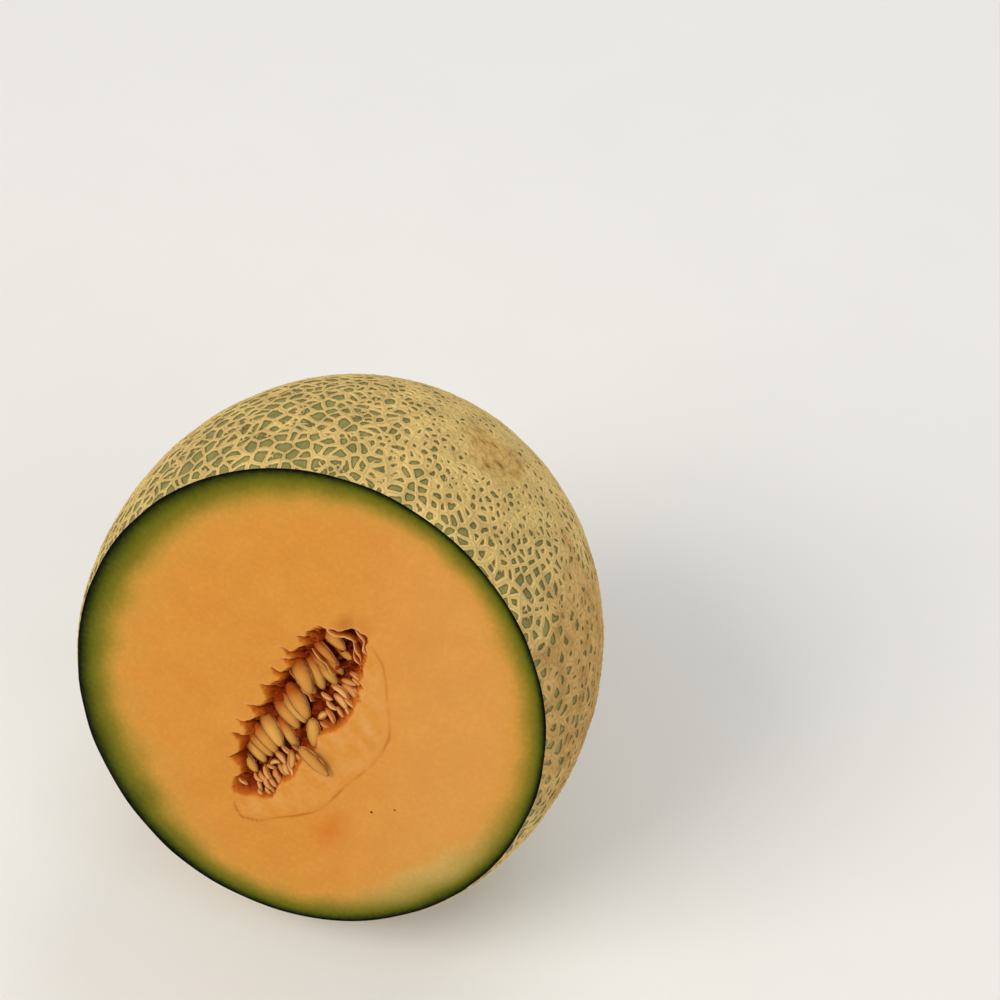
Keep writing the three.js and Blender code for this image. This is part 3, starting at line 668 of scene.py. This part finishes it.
class Net:
    """The corky net: main ridges round cells of the size given, and here and there finer ones across them."""

    def __init__(self, settings):
        cell = settings.cell_size / MM
        self.half_width = settings.ridge_width / MM / 2
        self.height = settings.ridge_height / MM
        self.main = cell_middles(cell, crowding=0.6, reach=27.0, shake=0.42, seed=11)
        self.fine = cell_middles(0.56 * cell, crowding=0.75, reach=27.0, shake=0.45, seed=12)

    def surface(self, directions):
        """Points, and the numbers that colour them: net is the distance in from the foot of a ridge, crest
        that from its middle line, russet how far the cork has spread and browned, and cork how far it has
        closed over the ends. The knife has trimmed the ridges away along the cut."""
        at = directions * MEAN_RADIUS
        bent = np.stack([ripples(at, 9.0, seed) for seed in (21, 22, 23)], -1)
        swayed = unit(at + 0.42 * bent)
        ends = hump(directions, BLOSSOM, 26.0) + hump(directions, STEM, 16.0)
        button = hump(directions, BLOSSOM, 10.0) + hump(directions, STEM, 9.0)
        flank = smooth_step(0.3, 0.7, hump(directions, FLANK, 30.0) + 0.09 * ripples(at, 14.0, 24))
        cork = smooth_step(0.3, 0.8, button + 0.09 * ripples(at, 5.0, 25))
        width = self.half_width * (1.0 + 0.17 * ripples(at, 7.0, 26)) + 0.3 * ends + 1.4 * cork
        width = width + flank * (0.55 + 0.25 * ripples(at, 5.0, 30))
        main_gap = border_distance(swayed, self.main)
        fine_gap = border_distance(swayed, self.fine)
        fine_width = 0.22 + 0.1 * ripples(at, 4.0, 27) + 0.15 * ends
        fine_shown = smooth_step(0.0, 0.7, ripples(at, 11.0, 28) + 0.5 * ends)
        main_net = width - main_gap
        fine_net = fine_width - fine_gap - 1.2 * (1.0 - fine_shown)
        net = np.maximum(main_net, fine_net)
        crest = np.where(main_net > fine_net, main_gap, fine_gap + 0.2)
        rough = (0.04 + 0.06 * flank) * ripples(at, 1.9, 29) * smooth_step(-0.1, 0.3, net)
        main_height = self.height * smooth_step(-0.2, 0.34, main_net)
        fine_height = 0.6 * self.height * smooth_step(-0.15, 0.22, fine_net)
        trimmed = smooth_step(0.0, 2.4, skin_points(directions, 0.0 * net)[..., 1] + CUT_OFFSET)
        ridges = (np.maximum(main_height, fine_height) + rough) * trimmed
        height = SKIN_LIFT + ridges + 0.05 * ripples(at, 13.0, 31)
        russet = np.clip(0.8 * flank + 0.35 * cork, 0.0, 1.0)
        return skin_points(directions, height), {"net": net, "crest": crest, "russet": russet, "cork": cork}


def face_heading(azimuth, latitude):
    """The direction at an azimuth round the cut face, from its right, and a latitude towards the back."""
    flat = np.stack([np.cos(azimuth), np.zeros_like(azimuth), np.sin(azimuth)], -1)
    back = np.array([0.0, 1.0, 0.0])
    return flat * np.cos(latitude)[..., None] + back * np.sin(latitude)[..., None]


def cut_latitude(net, azimuths):
    """The latitude at which the netted skin meets the plane of the cut, found by a few corrected guesses."""
    latitude = np.full(azimuths.shape, -np.arcsin(CUT_OFFSET / ACROSS_RADIUS))
    for _ in range(5):
        points, _ = net.surface(face_heading(azimuths, latitude)[None])
        latitude = latitude - 0.8 * (points[0, :, 1] + CUT_OFFSET) / (ACROSS_RADIUS * np.cos(latitude))
    return latitude


def side_azimuths(quarter):
    """The azimuths of one side's columns: a quarter turn centred on the right, top, left or bottom."""
    return np.radians(90.0 * quarter + np.linspace(-45.0, 45.0, RIND_COLUMNS + 1))


def grid_normals(points):
    """Normals of a grid with one extra row and column on every side, for the points within."""
    down = points[2:, 1:-1] - points[:-2, 1:-1]
    across = points[1:-1, 2:] - points[1:-1, :-2]
    return unit(np.cross(down, across))


def padded(values):
    """Evenly spaced values with one more at each end."""
    return np.concatenate([[2 * values[0] - values[1]], values, [2 * values[-1] - values[-2]]])


def rind_side(net, quarter):
    """One side of the rind, from the cut to the back: rows run along the latitude, columns round it."""
    azimuths = padded(side_azimuths(quarter))
    start = cut_latitude(net, azimuths)
    end = np.arctan(np.cos(azimuths - np.radians(90.0 * quarter)))
    shares = padded(np.linspace(0.0, 1.0, RIND_ROWS + 1))[:, None]
    latitudes = start + (end - start) * shares
    points, numbers = net.surface(face_heading(np.broadcast_to(azimuths, latitudes.shape), latitudes))
    points[1, :, 1] = -CUT_OFFSET
    return points, numbers


def rind_back(net):
    """The rind's back: a square of directions, spread evenly by angle, round the one away from the cut."""
    steps = np.tan(np.radians(padded(np.linspace(-45.0, 45.0, RIND_COLUMNS + 1))))
    across, upward = np.meshgrid(steps, steps)
    return net.surface(unit(np.stack([across, np.ones_like(across), upward], -1)))


def make_rind(settings):
    """The rind in five pieces that share their edges."""
    net = Net(settings)
    material = rind_material(settings)
    names = ("rind_right", "rind_top", "rind_left", "rind_bottom", "rind_back")
    for quarter, name in enumerate(names):
        points, numbers = rind_side(net, quarter) if quarter < 4 else rind_back(net)
        rows, columns = points.shape[0] - 2, points.shape[1] - 2
        within = (slice(1, -1), slice(1, -1))
        make_piece(
            name,
            points[within].reshape(-1, 3),
            grid_faces(rows, columns),
            material,
            ["melon"],
            {key: values[within] for key, values in numbers.items()},
            grid_normals(to_row(points)).reshape(-1, 3),
        )


def line_distance(u, v, line):
    """The least distance to a line of points."""
    points = np.array(line)
    starts, sides = points[:-1], np.diff(points, axis=0)
    at = np.stack([u, v], -1).reshape(-1, 1, 2)
    share = np.clip(((at - starts) * sides).sum(-1) / (sides**2).sum(-1), 0.0, 1.0)
    nearest = starts + share[..., None] * sides
    return np.linalg.norm(at - nearest, axis=-1).min(axis=1).reshape(u.shape)


def outline_distance(u, v, outline):
    """Distance to a closed outline, positive where an odd number of its sides lies to the right."""
    closed = (*outline, outline[0])
    inside = np.zeros(u.shape, dtype=bool)
    for (u0, v0), (u1, v1) in zip(closed, closed[1:]):
        if v0 != v1:
            inside ^= ((v0 > v) != (v1 > v)) & (u < u0 + (v - v0) * (u1 - u0) / (v1 - v0))
    distance = line_distance(u, v, closed)
    return np.where(inside, distance, -distance)


def lobe(azimuth, degrees, width):
    """A smooth hump over the headings in the cut face, 1 at the given one, its width in radians."""
    return np.exp(2.0 * (np.cos(azimuth - np.radians(degrees)) - 1.0) / width**2)


def skin_depth(points, band):
    """How far a point of the cut face lies in from its rim, as a share of the green band, which is widest
    on the left and at the lower right, narrow at the top, and on the right is dark in its outermost part
    only. The rim is the egg's own section, an ellipse."""
    flat = points.copy()
    flat[..., 1] = 0.0
    along = flat @ LONG_AXIS
    shape = flat / ACROSS_RADIUS + np.multiply.outer(along * (1 / LONG_RADIUS - 1 / ACROSS_RADIUS), LONG_AXIS)
    reach = np.linalg.norm(shape, axis=-1)
    slope = flat / ACROSS_RADIUS**2 + np.multiply.outer(
        along * (1 / LONG_RADIUS**2 - 1 / ACROSS_RADIUS**2), LONG_AXIS
    )
    steep = np.linalg.norm(slope, axis=-1) / np.maximum(reach, 1e-6)
    rim = np.sqrt(1.0 - (CUT_OFFSET / ACROSS_RADIUS) ** 2)
    distance = (rim - reach) / np.maximum(steep, 1e-6)
    azimuth = np.arctan2(points[..., 2], points[..., 0])
    wide = 1.02 + 0.27 * np.cos(azimuth - np.radians(172.0)) + 0.05 * np.sin(5 * azimuth + 1.0)
    for heading, width, more in BAND_LOBES:
        wide = wide + more * lobe(azimuth, heading, width)
    share = distance / (band * wide * (1.0 + 0.05 * ripples(flat[..., [0, 2]], 16.0, 55)))
    rightness = 0.5 + 0.5 * np.cos(azimuth + np.radians(8.0))
    return share * (1.0 + 0.6 * rightness * bell(share / 0.6))


def grid_lines(stretches):
    """Places of grid lines from stretches, each given by its start and its number of steps."""
    parts = [np.linspace(a, b, n, endpoint=False) for (a, n), (b, _) in zip(stretches, stretches[1:])]
    return np.concatenate([*parts, [stretches[-1][0]]])


def slit_shape(u, v, deepest):
    """How deep the flesh lies below the cut face, and how far inside the slit's edge and how steep it is
    there. The walls drop steeply where they face the stem end and slope gently elsewhere: depth = deepest
    times 1 - exp(-slope * distance / deepest). A thin lip stands up along the steep edges."""
    at = np.stack([u, v], -1)
    bent_u = u + 0.26 * ripples(at, 5.0, 41) + 0.09 * ripples(at, 1.7, 43)
    bent_v = v + 0.26 * ripples(at, 5.0, 42) + 0.09 * ripples(at, 1.7, 44)
    within = outline_distance(bent_u, bent_v, SLIT_OUTLINE)
    lean_u = np.gradient(within, u[:, 0], axis=0)
    lean_v = np.gradient(within, v[0], axis=1)
    steep = smooth_step(0.0, 0.7, -lean_u) * smooth_step(1.0, 0.4, lean_v)
    slope = 1.05 + 2.8 * steep + 0.5 * smooth_step(0.0, -0.8, lean_v) + 1.4 * smooth_step(-20.0, -30.0, u)
    soft = 0.5 * (within + np.sqrt(within**2 + 0.03))
    pocket = 1.0 + 0.16 * ripples(at, 6.0, 46) - 0.5 * smooth_step(-33.0, -41.0, u)
    depth = deepest * pocket * (1.0 - np.exp(-slope * soft / deepest))
    threads = 0.2 * ripples(np.stack([u * 1.8, v * 0.4], -1), 2.2, 45) * smooth_step(0.5, 2.5, within)
    lip = steep * bell((within + 0.25) / 0.32)
    return depth + threads - 0.2 * lip, within, lip


def face_relief(points):
    """The cut face is nearly flat: long faint waves from the knife and a softer grain."""
    return 0.05 * ripples(points[..., [0, 2]], 24.0, 51) + 0.02 * ripples(points[..., [0, 2]], 3.0, 52)


def flesh_numbers(points, u, v, hollow, lip, band):
    """The numbers that colour the flesh: its depth under the skin, the slit's depth and lip, the seed bed's
    line and the pale film within it, which fades on to the right, the less ripe place along the band at the
    lower right, the painted shade by the slit's blossom end and the redder place."""
    at = np.stack([u, v], -1)
    near_line = bell(line_distance(u, v, SEED_BED_LINE) / 0.4)
    line = near_line * (0.55 + 0.3 * np.clip(ripples(at, 12.0, 53), -1, 1))
    inside = smooth_step(0.0, 3.0, outline_distance(u, v, SEED_BED_LINE))
    skin = skin_depth(points, band)
    mottled = 0.1 + 0.08 * ripples(at, 7.0, 54) + 0.03 * ripples(at, 2.2, 56)
    paler = 0.2 * smooth_step(0.0, 45.0, points[..., 0])
    film = np.clip(inside * mottled + paler, 0.0, 0.6) * smooth_step(0.9, 1.9, skin)
    azimuth = np.arctan2(points[..., 2], points[..., 0])
    unripe = 0.52 * lobe(azimuth, -47.0, 0.36) * smooth_step(0.3, 0.95, skin) * smooth_step(1.6, 1.05, skin)
    return {
        "skin": skin,
        "hollow": hollow,
        "lip": lip,
        "line": line,
        "film": film,
        "unripe": unripe,
        "shade_patch": blotches(u, v, SHADE_PATCHES),
        "blush": blotches(u, v, BLUSHES),
    }


def make_seed_bed(settings, material):
    """The middle of the cut face, with the slit: a grid of u and v, sunk by the slit's depth."""
    band, deepest = settings.green_band / MM, settings.slit_depth / MM
    u, v = np.meshgrid(grid_lines(BED_U), grid_lines(BED_V), indexing="ij")
    depth, within, lip = slit_shape(u, v, deepest)
    sunk = np.where(within > -1.5, depth, 0.0)
    flat = on_face(u, v, np.zeros_like(u))
    numbers = flesh_numbers(flat, u, v, sunk, lip, band)
    points = on_face(u, v, sunk + face_relief(flat) + 0.1 * numbers["line"])
    faces = grid_faces(*u.shape)
    make_piece("seed_bed", points.reshape(-1, 3), faces, material, ["melon"], numbers)


def bed_border(headings):
    """Where rays from the middle of the seed bed in the given headings, in u and v, leave its rectangle.
    The ray nearest to each corner ends in the corner itself, so that no gap is left there."""
    low, high = np.array([BED_U[0][0], BED_V[0][0]]), np.array([BED_U[-1][0], BED_V[-1][0]])
    middle, half = (low + high) / 2, (high - low) / 2
    stretch = np.min(half / np.maximum(np.abs(headings), 1e-9), axis=-1)
    ends = middle + headings * stretch[:, None]
    for corner in ((low[0], low[1]), (low[0], high[1]), (high[0], low[1]), (high[0], high[1])):
        towards = unit(np.array(corner) - middle)
        ends[np.argmax(headings @ towards)] = corner
    return ends


def make_cut_face(net_settings, settings, material):
    """The flesh between the rind and the seed bed: each column runs straight in from a point of the rind's
    cut edge to the bed's border, in steps that are finest at the rim."""
    net = Net(net_settings)
    azimuths = np.concatenate([side_azimuths(quarter)[:-1] for quarter in range(4)])
    rim, _ = net.surface(face_heading(azimuths, cut_latitude(net, azimuths))[None])
    rim = rim[0]
    rim[:, 1] = -CUT_OFFSET
    middle = on_face((BED_U[0][0] + BED_U[-1][0]) / 2, (BED_V[0][0] + BED_V[-1][0]) / 2, 0.0)
    away = rim - middle
    ends = bed_border(unit(np.stack([away @ ALONG, away @ ACROSS], -1)))
    border = on_face(ends[:, 0], ends[:, 1], np.zeros(len(ends)))
    shares = (np.linspace(0.0, 1.0, CUT_ROWS) ** 1.8)[:, None, None]
    points = rim + (border - rim) * shares
    u, v = points @ ALONG, points @ ACROSS
    numbers = flesh_numbers(points, u, v, np.zeros_like(u), np.zeros_like(u), settings.green_band / MM)
    inward = smooth_step(0.0, 0.02, shares[..., 0])
    points = points - np.multiply.outer(face_relief(points) * inward, OUT)
    faces = grid_faces(*u.shape, around=True)
    make_piece("cut_face", points.reshape(-1, 3), faces, material, ["melon"], numbers)


def make_crumbs(material):
    """Two dark specks of pulp on the flesh: flat little lenses, half sunk in it."""
    rows = np.linspace(0.0, np.pi, 9)[:, None]
    turn = np.linspace(0.0, 2.0 * np.pi, 12, endpoint=False)[None]
    bodies = []
    for u, v, size in CRUMBS:
        across = size * np.sin(rows)
        depth = 0.12 * (np.cos(rows) - 0.6) + 0.0 * turn
        grid = on_face(u + across * np.cos(turn), v + across * np.sin(turn), depth)
        bodies.append(closed_grid(grid[::-1], {"hollow": np.full(grid.shape[:2], 5.5)}))
    points, faces, numbers = joined(bodies)
    make_piece("flesh_specks", points, faces, material, ["melon"], numbers)


def make_pulp(material):
    """The pulp: a closed lens under the seeds. Rows run out from its middle to the slit's edge over the top,
    which is drawn up into threads between the seeds, and back in underneath."""
    rings, columns = 46, 260
    turn = np.linspace(0.0, 2.0 * np.pi, columns, endpoint=False)
    reach = np.concatenate([np.linspace(0.0, 1.0, rings), np.linspace(0.92, 0.0, 8)])
    under = np.arange(len(reach)) >= rings
    (u0, v0), (long, wide) = PULP_MIDDLE, PULP_REACH
    u = u0 + long * np.multiply.outer(reach, np.cos(turn))
    v = v0 + PULP_SLANT * (u - u0) + wide * np.multiply.outer(reach, np.sin(turn))
    at = np.stack([u, v], -1)
    threads = np.abs(ripples(np.stack([u + 0.45 * v, 0.16 * v], -1), 4.6, 61))
    top = PULP_TOP + 0.1 * v - 1.8 * bell(threads / 0.4) + 0.5 * ripples(at, 2.6, 62)
    depth = np.where(under[:, None], PULP_UNDERSIDE, top)
    points, faces, numbers = closed_grid(on_face(u, v, depth), {"hollow": depth})
    make_piece("seed_pulp", points, faces, material, ["pulp"], numbers)


def seed_grid(length, width, thickness, rows, columns):
    """A seed, blunt at one end and pointed at the other: rows run along it and columns round it. Its half
    width follows (1 + a)^0.5 (1 - a)^0.62 for a from -1 to 1, and it thins towards its rim. Also gives how
    near each point is to the rim and how far along the seed it lies."""
    along = -np.cos(np.linspace(0.0, np.pi, rows))[:, None]
    turn = np.linspace(0.0, 2.0 * np.pi, columns, endpoint=False)[None]
    wedge = (1.0 + along) ** 0.5 * np.maximum(1.0 - along, 0.0) ** 0.62
    wedge = wedge / wedge.max()
    flat, proud = np.cos(turn), np.sin(turn)
    plump = wedge**0.8 * proud * (0.6 + 0.4 * proud**2)
    across = flat * wedge * width / 2
    grid = np.stack(np.broadcast_arrays(across, along * length / 2, plump * thickness / 2), -1)
    rim = np.maximum(np.abs(flat) + 0.0 * along, np.abs(along) ** 3 + 0.0 * turn)
    return grid, rim, along + 0.0 * turn


def lie_seed(grid, place):
    """A seed's grid laid at its place: turn swings its pointed end from straight across the slit towards the
    stem, rise lifts that end out of the face, roll tips it about its length, and bend curves it sideways."""
    turn, rise, roll = (np.radians(place[key]) for key in ("turn", "rise", "roll"))
    flat = -np.sin(turn) * ALONG - np.cos(turn) * ACROSS
    tip = flat * np.cos(rise) + OUT * np.sin(rise)
    level = unit(OUT - tip * (OUT @ tip))
    face = level * np.cos(roll) + np.cross(tip, level) * np.sin(roll)
    side = np.cross(tip, face)
    middle = on_face(place["u"], place["v"], place["depth"])
    bent = grid.copy()
    bent[..., 0] += place.get("bend", 0.0) * grid[..., 1] ** 2
    return middle + (bent * place["scale"]) @ np.stack([side, tip, face])


def make_seeds(name, places, size, steps, material, slot, node, seed, darkening=1.0):
    """Seeds at their places as one piece, each with a tone of its own, darker near the blossom end and
    darker at its blunt end with painted shade from the slit's wall."""
    draws = np.random.default_rng(seed)
    bodies = []
    grid, rim, along = seed_grid(*size, *steps)
    for place in places:
        # blunt-end darkening: painted shade of the slit's wall over the seed's blunt end
        tone = draws.uniform(0.0, 0.4) + darkening * 0.8 * smooth_step(0.15, -0.95, along)
        tone = tone + darkening * 0.3 * smooth_step(4.0, 24.0, place["u"])
        bodies.append(closed_grid(lie_seed(grid, place), {"rim": rim, "tone": tone}))
    points, faces, numbers = joined(bodies)
    make_piece(name, points, faces, material, [node], numbers)


def plump_places(rows):
    """How the plump seeds of the rows lie."""
    return [dict(zip(SEED_KEYS, row)) for row in rows]


def young_places():
    """How the small seeds lie, each shaken by seeded draws."""
    draws = np.random.default_rng(71)
    places = []
    for u, v, turn, length in YOUNG_PLACES:
        shaken = {key: draws.uniform(*limits) for key, limits in YOUNG_SHAKES.items()}
        shaken["depth"] += YOUNG_DEPTH
        places.append({"u": u, "v": v, "turn": turn, "scale": YOUNG_SWELL * length, **shaken})
    return places


def spline(points, steps):
    """A smooth line through points: each stretch is a cubic with slopes from the points on both sides."""
    known = np.array(points)
    slopes = np.gradient(known, axis=0)
    at = np.linspace(0.0, len(known) - 1.0, steps)
    start = np.minimum(at.astype(int), len(known) - 2)
    t = (at - start)[:, None]
    a, b = known[start], known[start + 1]
    return (
        a * (1 + 2 * t) * (1 - t) ** 2
        + b * t**2 * (3 - 2 * t)
        + slopes[start] * t * (1 - t) ** 2
        - slopes[start + 1] * t**2 * (1 - t)
    )


def membrane_body(path, tall, top, seed):
    """A thin skin standing on edge along a line: rows run along the line, columns go down one side and up the
    other. Its upper edge waves, and both ends close. Its colour number grows from the edge down, so painted
    shade darkens it lower down."""
    steps = 60
    line = spline(path, steps)
    heading = unit(np.gradient(line, axis=0))
    aside = np.stack([-heading[:, 1], heading[:, 0]], -1)
    down = np.concatenate([np.linspace(0.0, 1.0, 9), np.linspace(1.0, 0.0, 9)])[None]
    side = np.concatenate([np.ones(9), -np.ones(9)])[None]
    ends = np.sin(np.linspace(0.0, np.pi, steps)) ** 0.35
    wave = 0.3 * ripples(line, 4.5, seed)[:, None]
    lift = top + wave * (1 - down) + (1.0 - ends)[:, None] * 1.2
    depth = lift + down * tall
    thick = (0.1 + 0.22 * down) * ends[:, None]
    sway = 0.3 * ripples(line, 6.0, seed + 1)[:, None] * (1 - down)
    offset = side * thick + sway
    u = line[:, :1] + aside[:, :1] * offset
    v = line[:, 1:] + aside[:, 1:] * offset
    return closed_grid(on_face(u, v, depth), {"hollow": 1.5 * down * tall + 0.3 * lift})


def make_membranes(material):
    """The thin skins in the slit, as one piece."""
    bodies = [membrane_body(**membrane, seed=80 + 2 * i) for i, membrane in enumerate(MEMBRANES)]
    points, faces, numbers = joined(bodies)
    make_piece("slit_skins", points, faces, material, ["pulp"], numbers)


class MELON_OT_rind(bpy.types.Operator):
    """Build the netted rind"""

    bl_idname = "melon.rind"
    bl_label = "Netted Rind"

    def execute(self, context):
        make_rind(context.scene.melon_rind)
        return {"FINISHED"}


class MELON_OT_flesh(bpy.types.Operator):
    """Build the cut face and the seed bed in it"""

    bl_idname = "melon.flesh"
    bl_label = "Flesh"

    def execute(self, context):
        settings = context.scene.melon_flesh
        material = flesh_material(settings)
        make_cut_face(context.scene.melon_rind, settings, material)
        make_seed_bed(settings, material)
        return {"FINISHED"}


class MELON_OT_pulp(bpy.types.Operator):
    """Build the pulp, its crumbs on the flesh and the thin skins in the slit"""

    bl_idname = "melon.pulp"
    bl_label = "Pulp"

    def execute(self, context):
        material = pulp_material()
        make_crumbs(material)
        make_pulp(material)
        make_membranes(material)
        return {"FINISHED"}


class MELON_OT_seeds(bpy.types.Operator):
    """Build the plump seeds, the stray ones and the small ones"""

    bl_idname = "melon.seeds"
    bl_label = "Seeds"

    def execute(self, context):
        settings = context.scene.melon_seeds
        # the coat's colour, darker towards the rim as painted shade, then the rim's painted shade and pale
        # painted highlight
        coat = (*tints(settings.coat, (0.0, 1.1), (0.5, 0.95), (0.76, 0.66)), *RIM_SHADE_AND_HIGHLIGHT)
        plump = seed_material(settings, "wet seed husk", coat)
        kind = (SEED_SIZE, SEED_STEPS, plump, "seed")
        make_seeds("plump_seeds", plump_places(PLUMP_PLACES + DEEP_PLACES), *kind, "seeds", seed=91)
        for i, (name, place) in enumerate(STRAY_PLACES.items()):
            make_seeds("loose_" + name, plump_places([place]), *kind, name, seed=92 + i, darkening=0.0)
        young = seed_material(settings, "soft unfilled seed", YOUNG_COLOURS_SHADE_AND_HIGHLIGHT)
        kind = (YOUNG_SIZE, YOUNG_STEPS, young, "young_seed")
        make_seeds("small_seeds", young_places(), *kind, "young_seeds", seed=94, darkening=0.3)
        return {"FINISHED"}


class MELON_OT_stage(bpy.types.Operator):
    """Build the floor, the light and the camera"""

    bl_idname = "melon.stage"
    bl_label = "Stage"

    def execute(self, context):
        settings = context.scene.melon_stage
        make_floor(settings)
        make_lights(settings)
        make_camera()
        return {"FINISHED"}


def make_floor(settings):
    """A wide plain floor under the melon."""
    mesh = bpy.data.meshes.new("floor")
    reach = 6.0
    corners = [(-reach, -reach, 0.0), (reach, -reach, 0.0), (reach, reach, 0.0), (-reach, reach, 0.0)]
    mesh.from_pydata(corners, [], [(0, 1, 2, 3)])
    material, tree, shader, place = new_material("matt painted board")
    grain = add_node(tree, "TexNoise", {"Vector": place, "Scale": 0.02, "Detail": 2.0})
    plain, darker = (*settings.floor, 1.0), (*(0.97 * c for c in settings.floor), 1.0)
    colour = add_node(tree, "Mix", {"Factor": grain, 6: plain, 7: darker}, **BLEND)
    tree.links.new(colour, shader.inputs["Base Color"])
    shader.inputs["Roughness"].default_value = 0.9
    shader.inputs["Specular IOR Level"].default_value = 0.2
    mesh.materials.append(material)
    add_object("floor", mesh)


def add_light(name, place, target, size, power, colour):
    """A square soft light at a place, turned to a target."""
    light = bpy.data.lights.new(name, "AREA")
    light.size = size
    light.energy = power
    light.color = linear(colour)[:3]
    turn = (Vector(target) - Vector(place)).to_track_quat("-Z", "Y").to_matrix().to_4x4()
    add_object(name, light).matrix_world = Matrix.Translation(place) @ turn


def make_lights(settings):
    """Soft studio light: a large key from the upper left, a fill from the right and a bright pale room."""
    middle = (0.0, -0.02, 0.08)
    add_light("key", (-0.7, -0.75, 1.15), middle, 0.9, settings.key_power, "fff8ee")
    add_light("fill", (1.1, -0.5, 0.7), middle, 1.0, 0.35 * settings.key_power, "fffaf2")
    add_light("back", (0.2, 1.0, 1.2), middle, 1.0, 0.5 * settings.key_power, "fffdf8")
    world = bpy.data.worlds.new("pale room")
    world.use_nodes = True
    backdrop = world.node_tree.nodes["Background"]
    backdrop.inputs["Color"].default_value = (1.0, 1.0, 1.0, 1.0)
    backdrop.inputs["Strength"].default_value = 0.42
    bpy.context.scene.world = world


def make_camera():
    """The camera at the photograph's viewing angle."""
    azimuth, elevation = np.radians(CAMERA_AZIMUTH), np.radians(CAMERA_ELEVATION)
    back = Vector(
        (np.sin(azimuth) * np.cos(elevation), -np.cos(azimuth) * np.cos(elevation), np.sin(elevation))
    )
    right = Vector((np.cos(azimuth), np.sin(azimuth), 0.0))
    upward = back.cross(right)
    sideways, above, away = CAMERA_PLACE
    place = (Vector(FRUIT_MIDDLE) + sideways * right + above * upward + away * back) * MM
    data = bpy.data.cameras.new("camera")
    data.lens = CAMERA_LENS
    data.sensor_width = 36.0
    turn = Matrix((right, upward, back)).transposed().to_4x4()
    bpy.context.scene.camera = add_object("camera", data)
    bpy.context.scene.camera.matrix_world = Matrix.Translation(place) @ turn
    bpy.context.scene.view_settings.view_transform = "Standard"


class MELON_PT_sidebar(bpy.types.Panel):
    """The melon's pieces and their settings"""

    bl_label = "Cut Netted Melon"
    bl_idname = "MELON_PT_sidebar"
    bl_space_type = "VIEW_3D"
    bl_region_type = "UI"
    bl_category = "Melon"

    def draw(self, context):
        for group in ("melon_rind", "melon_flesh", "melon_seeds", "melon_stage"):
            box = self.layout.box()
            settings = getattr(context.scene, group)
            for key in settings.__annotations__:
                box.prop(settings, key)
        for operator in OPERATORS:
            self.layout.operator(operator.bl_idname)


GROUPS = {
    "melon_rind": RindSettings,
    "melon_flesh": FleshSettings,
    "melon_seeds": SeedSettings,
    "melon_stage": StageSettings,
}
OPERATORS = (MELON_OT_rind, MELON_OT_flesh, MELON_OT_pulp, MELON_OT_seeds, MELON_OT_stage)


def register():
    for name, group in GROUPS.items():
        bpy.utils.register_class(group)
        setattr(bpy.types.Scene, name, bpy.props.PointerProperty(type=group))
    for operator in OPERATORS:
        bpy.utils.register_class(operator)
    bpy.utils.register_class(MELON_PT_sidebar)


def unregister():
    bpy.utils.unregister_class(MELON_PT_sidebar)
    for operator in reversed(OPERATORS):
        bpy.utils.unregister_class(operator)
    for name, group in GROUPS.items():
        delattr(bpy.types.Scene, name)
        bpy.utils.unregister_class(group)


def main():
    """Builds everything."""
    register()
    bpy.ops.melon.rind()
    bpy.ops.melon.flesh()
    bpy.ops.melon.pulp()
    bpy.ops.melon.seeds()
    bpy.ops.melon.stage()


if __name__ == "__main__":
    main()
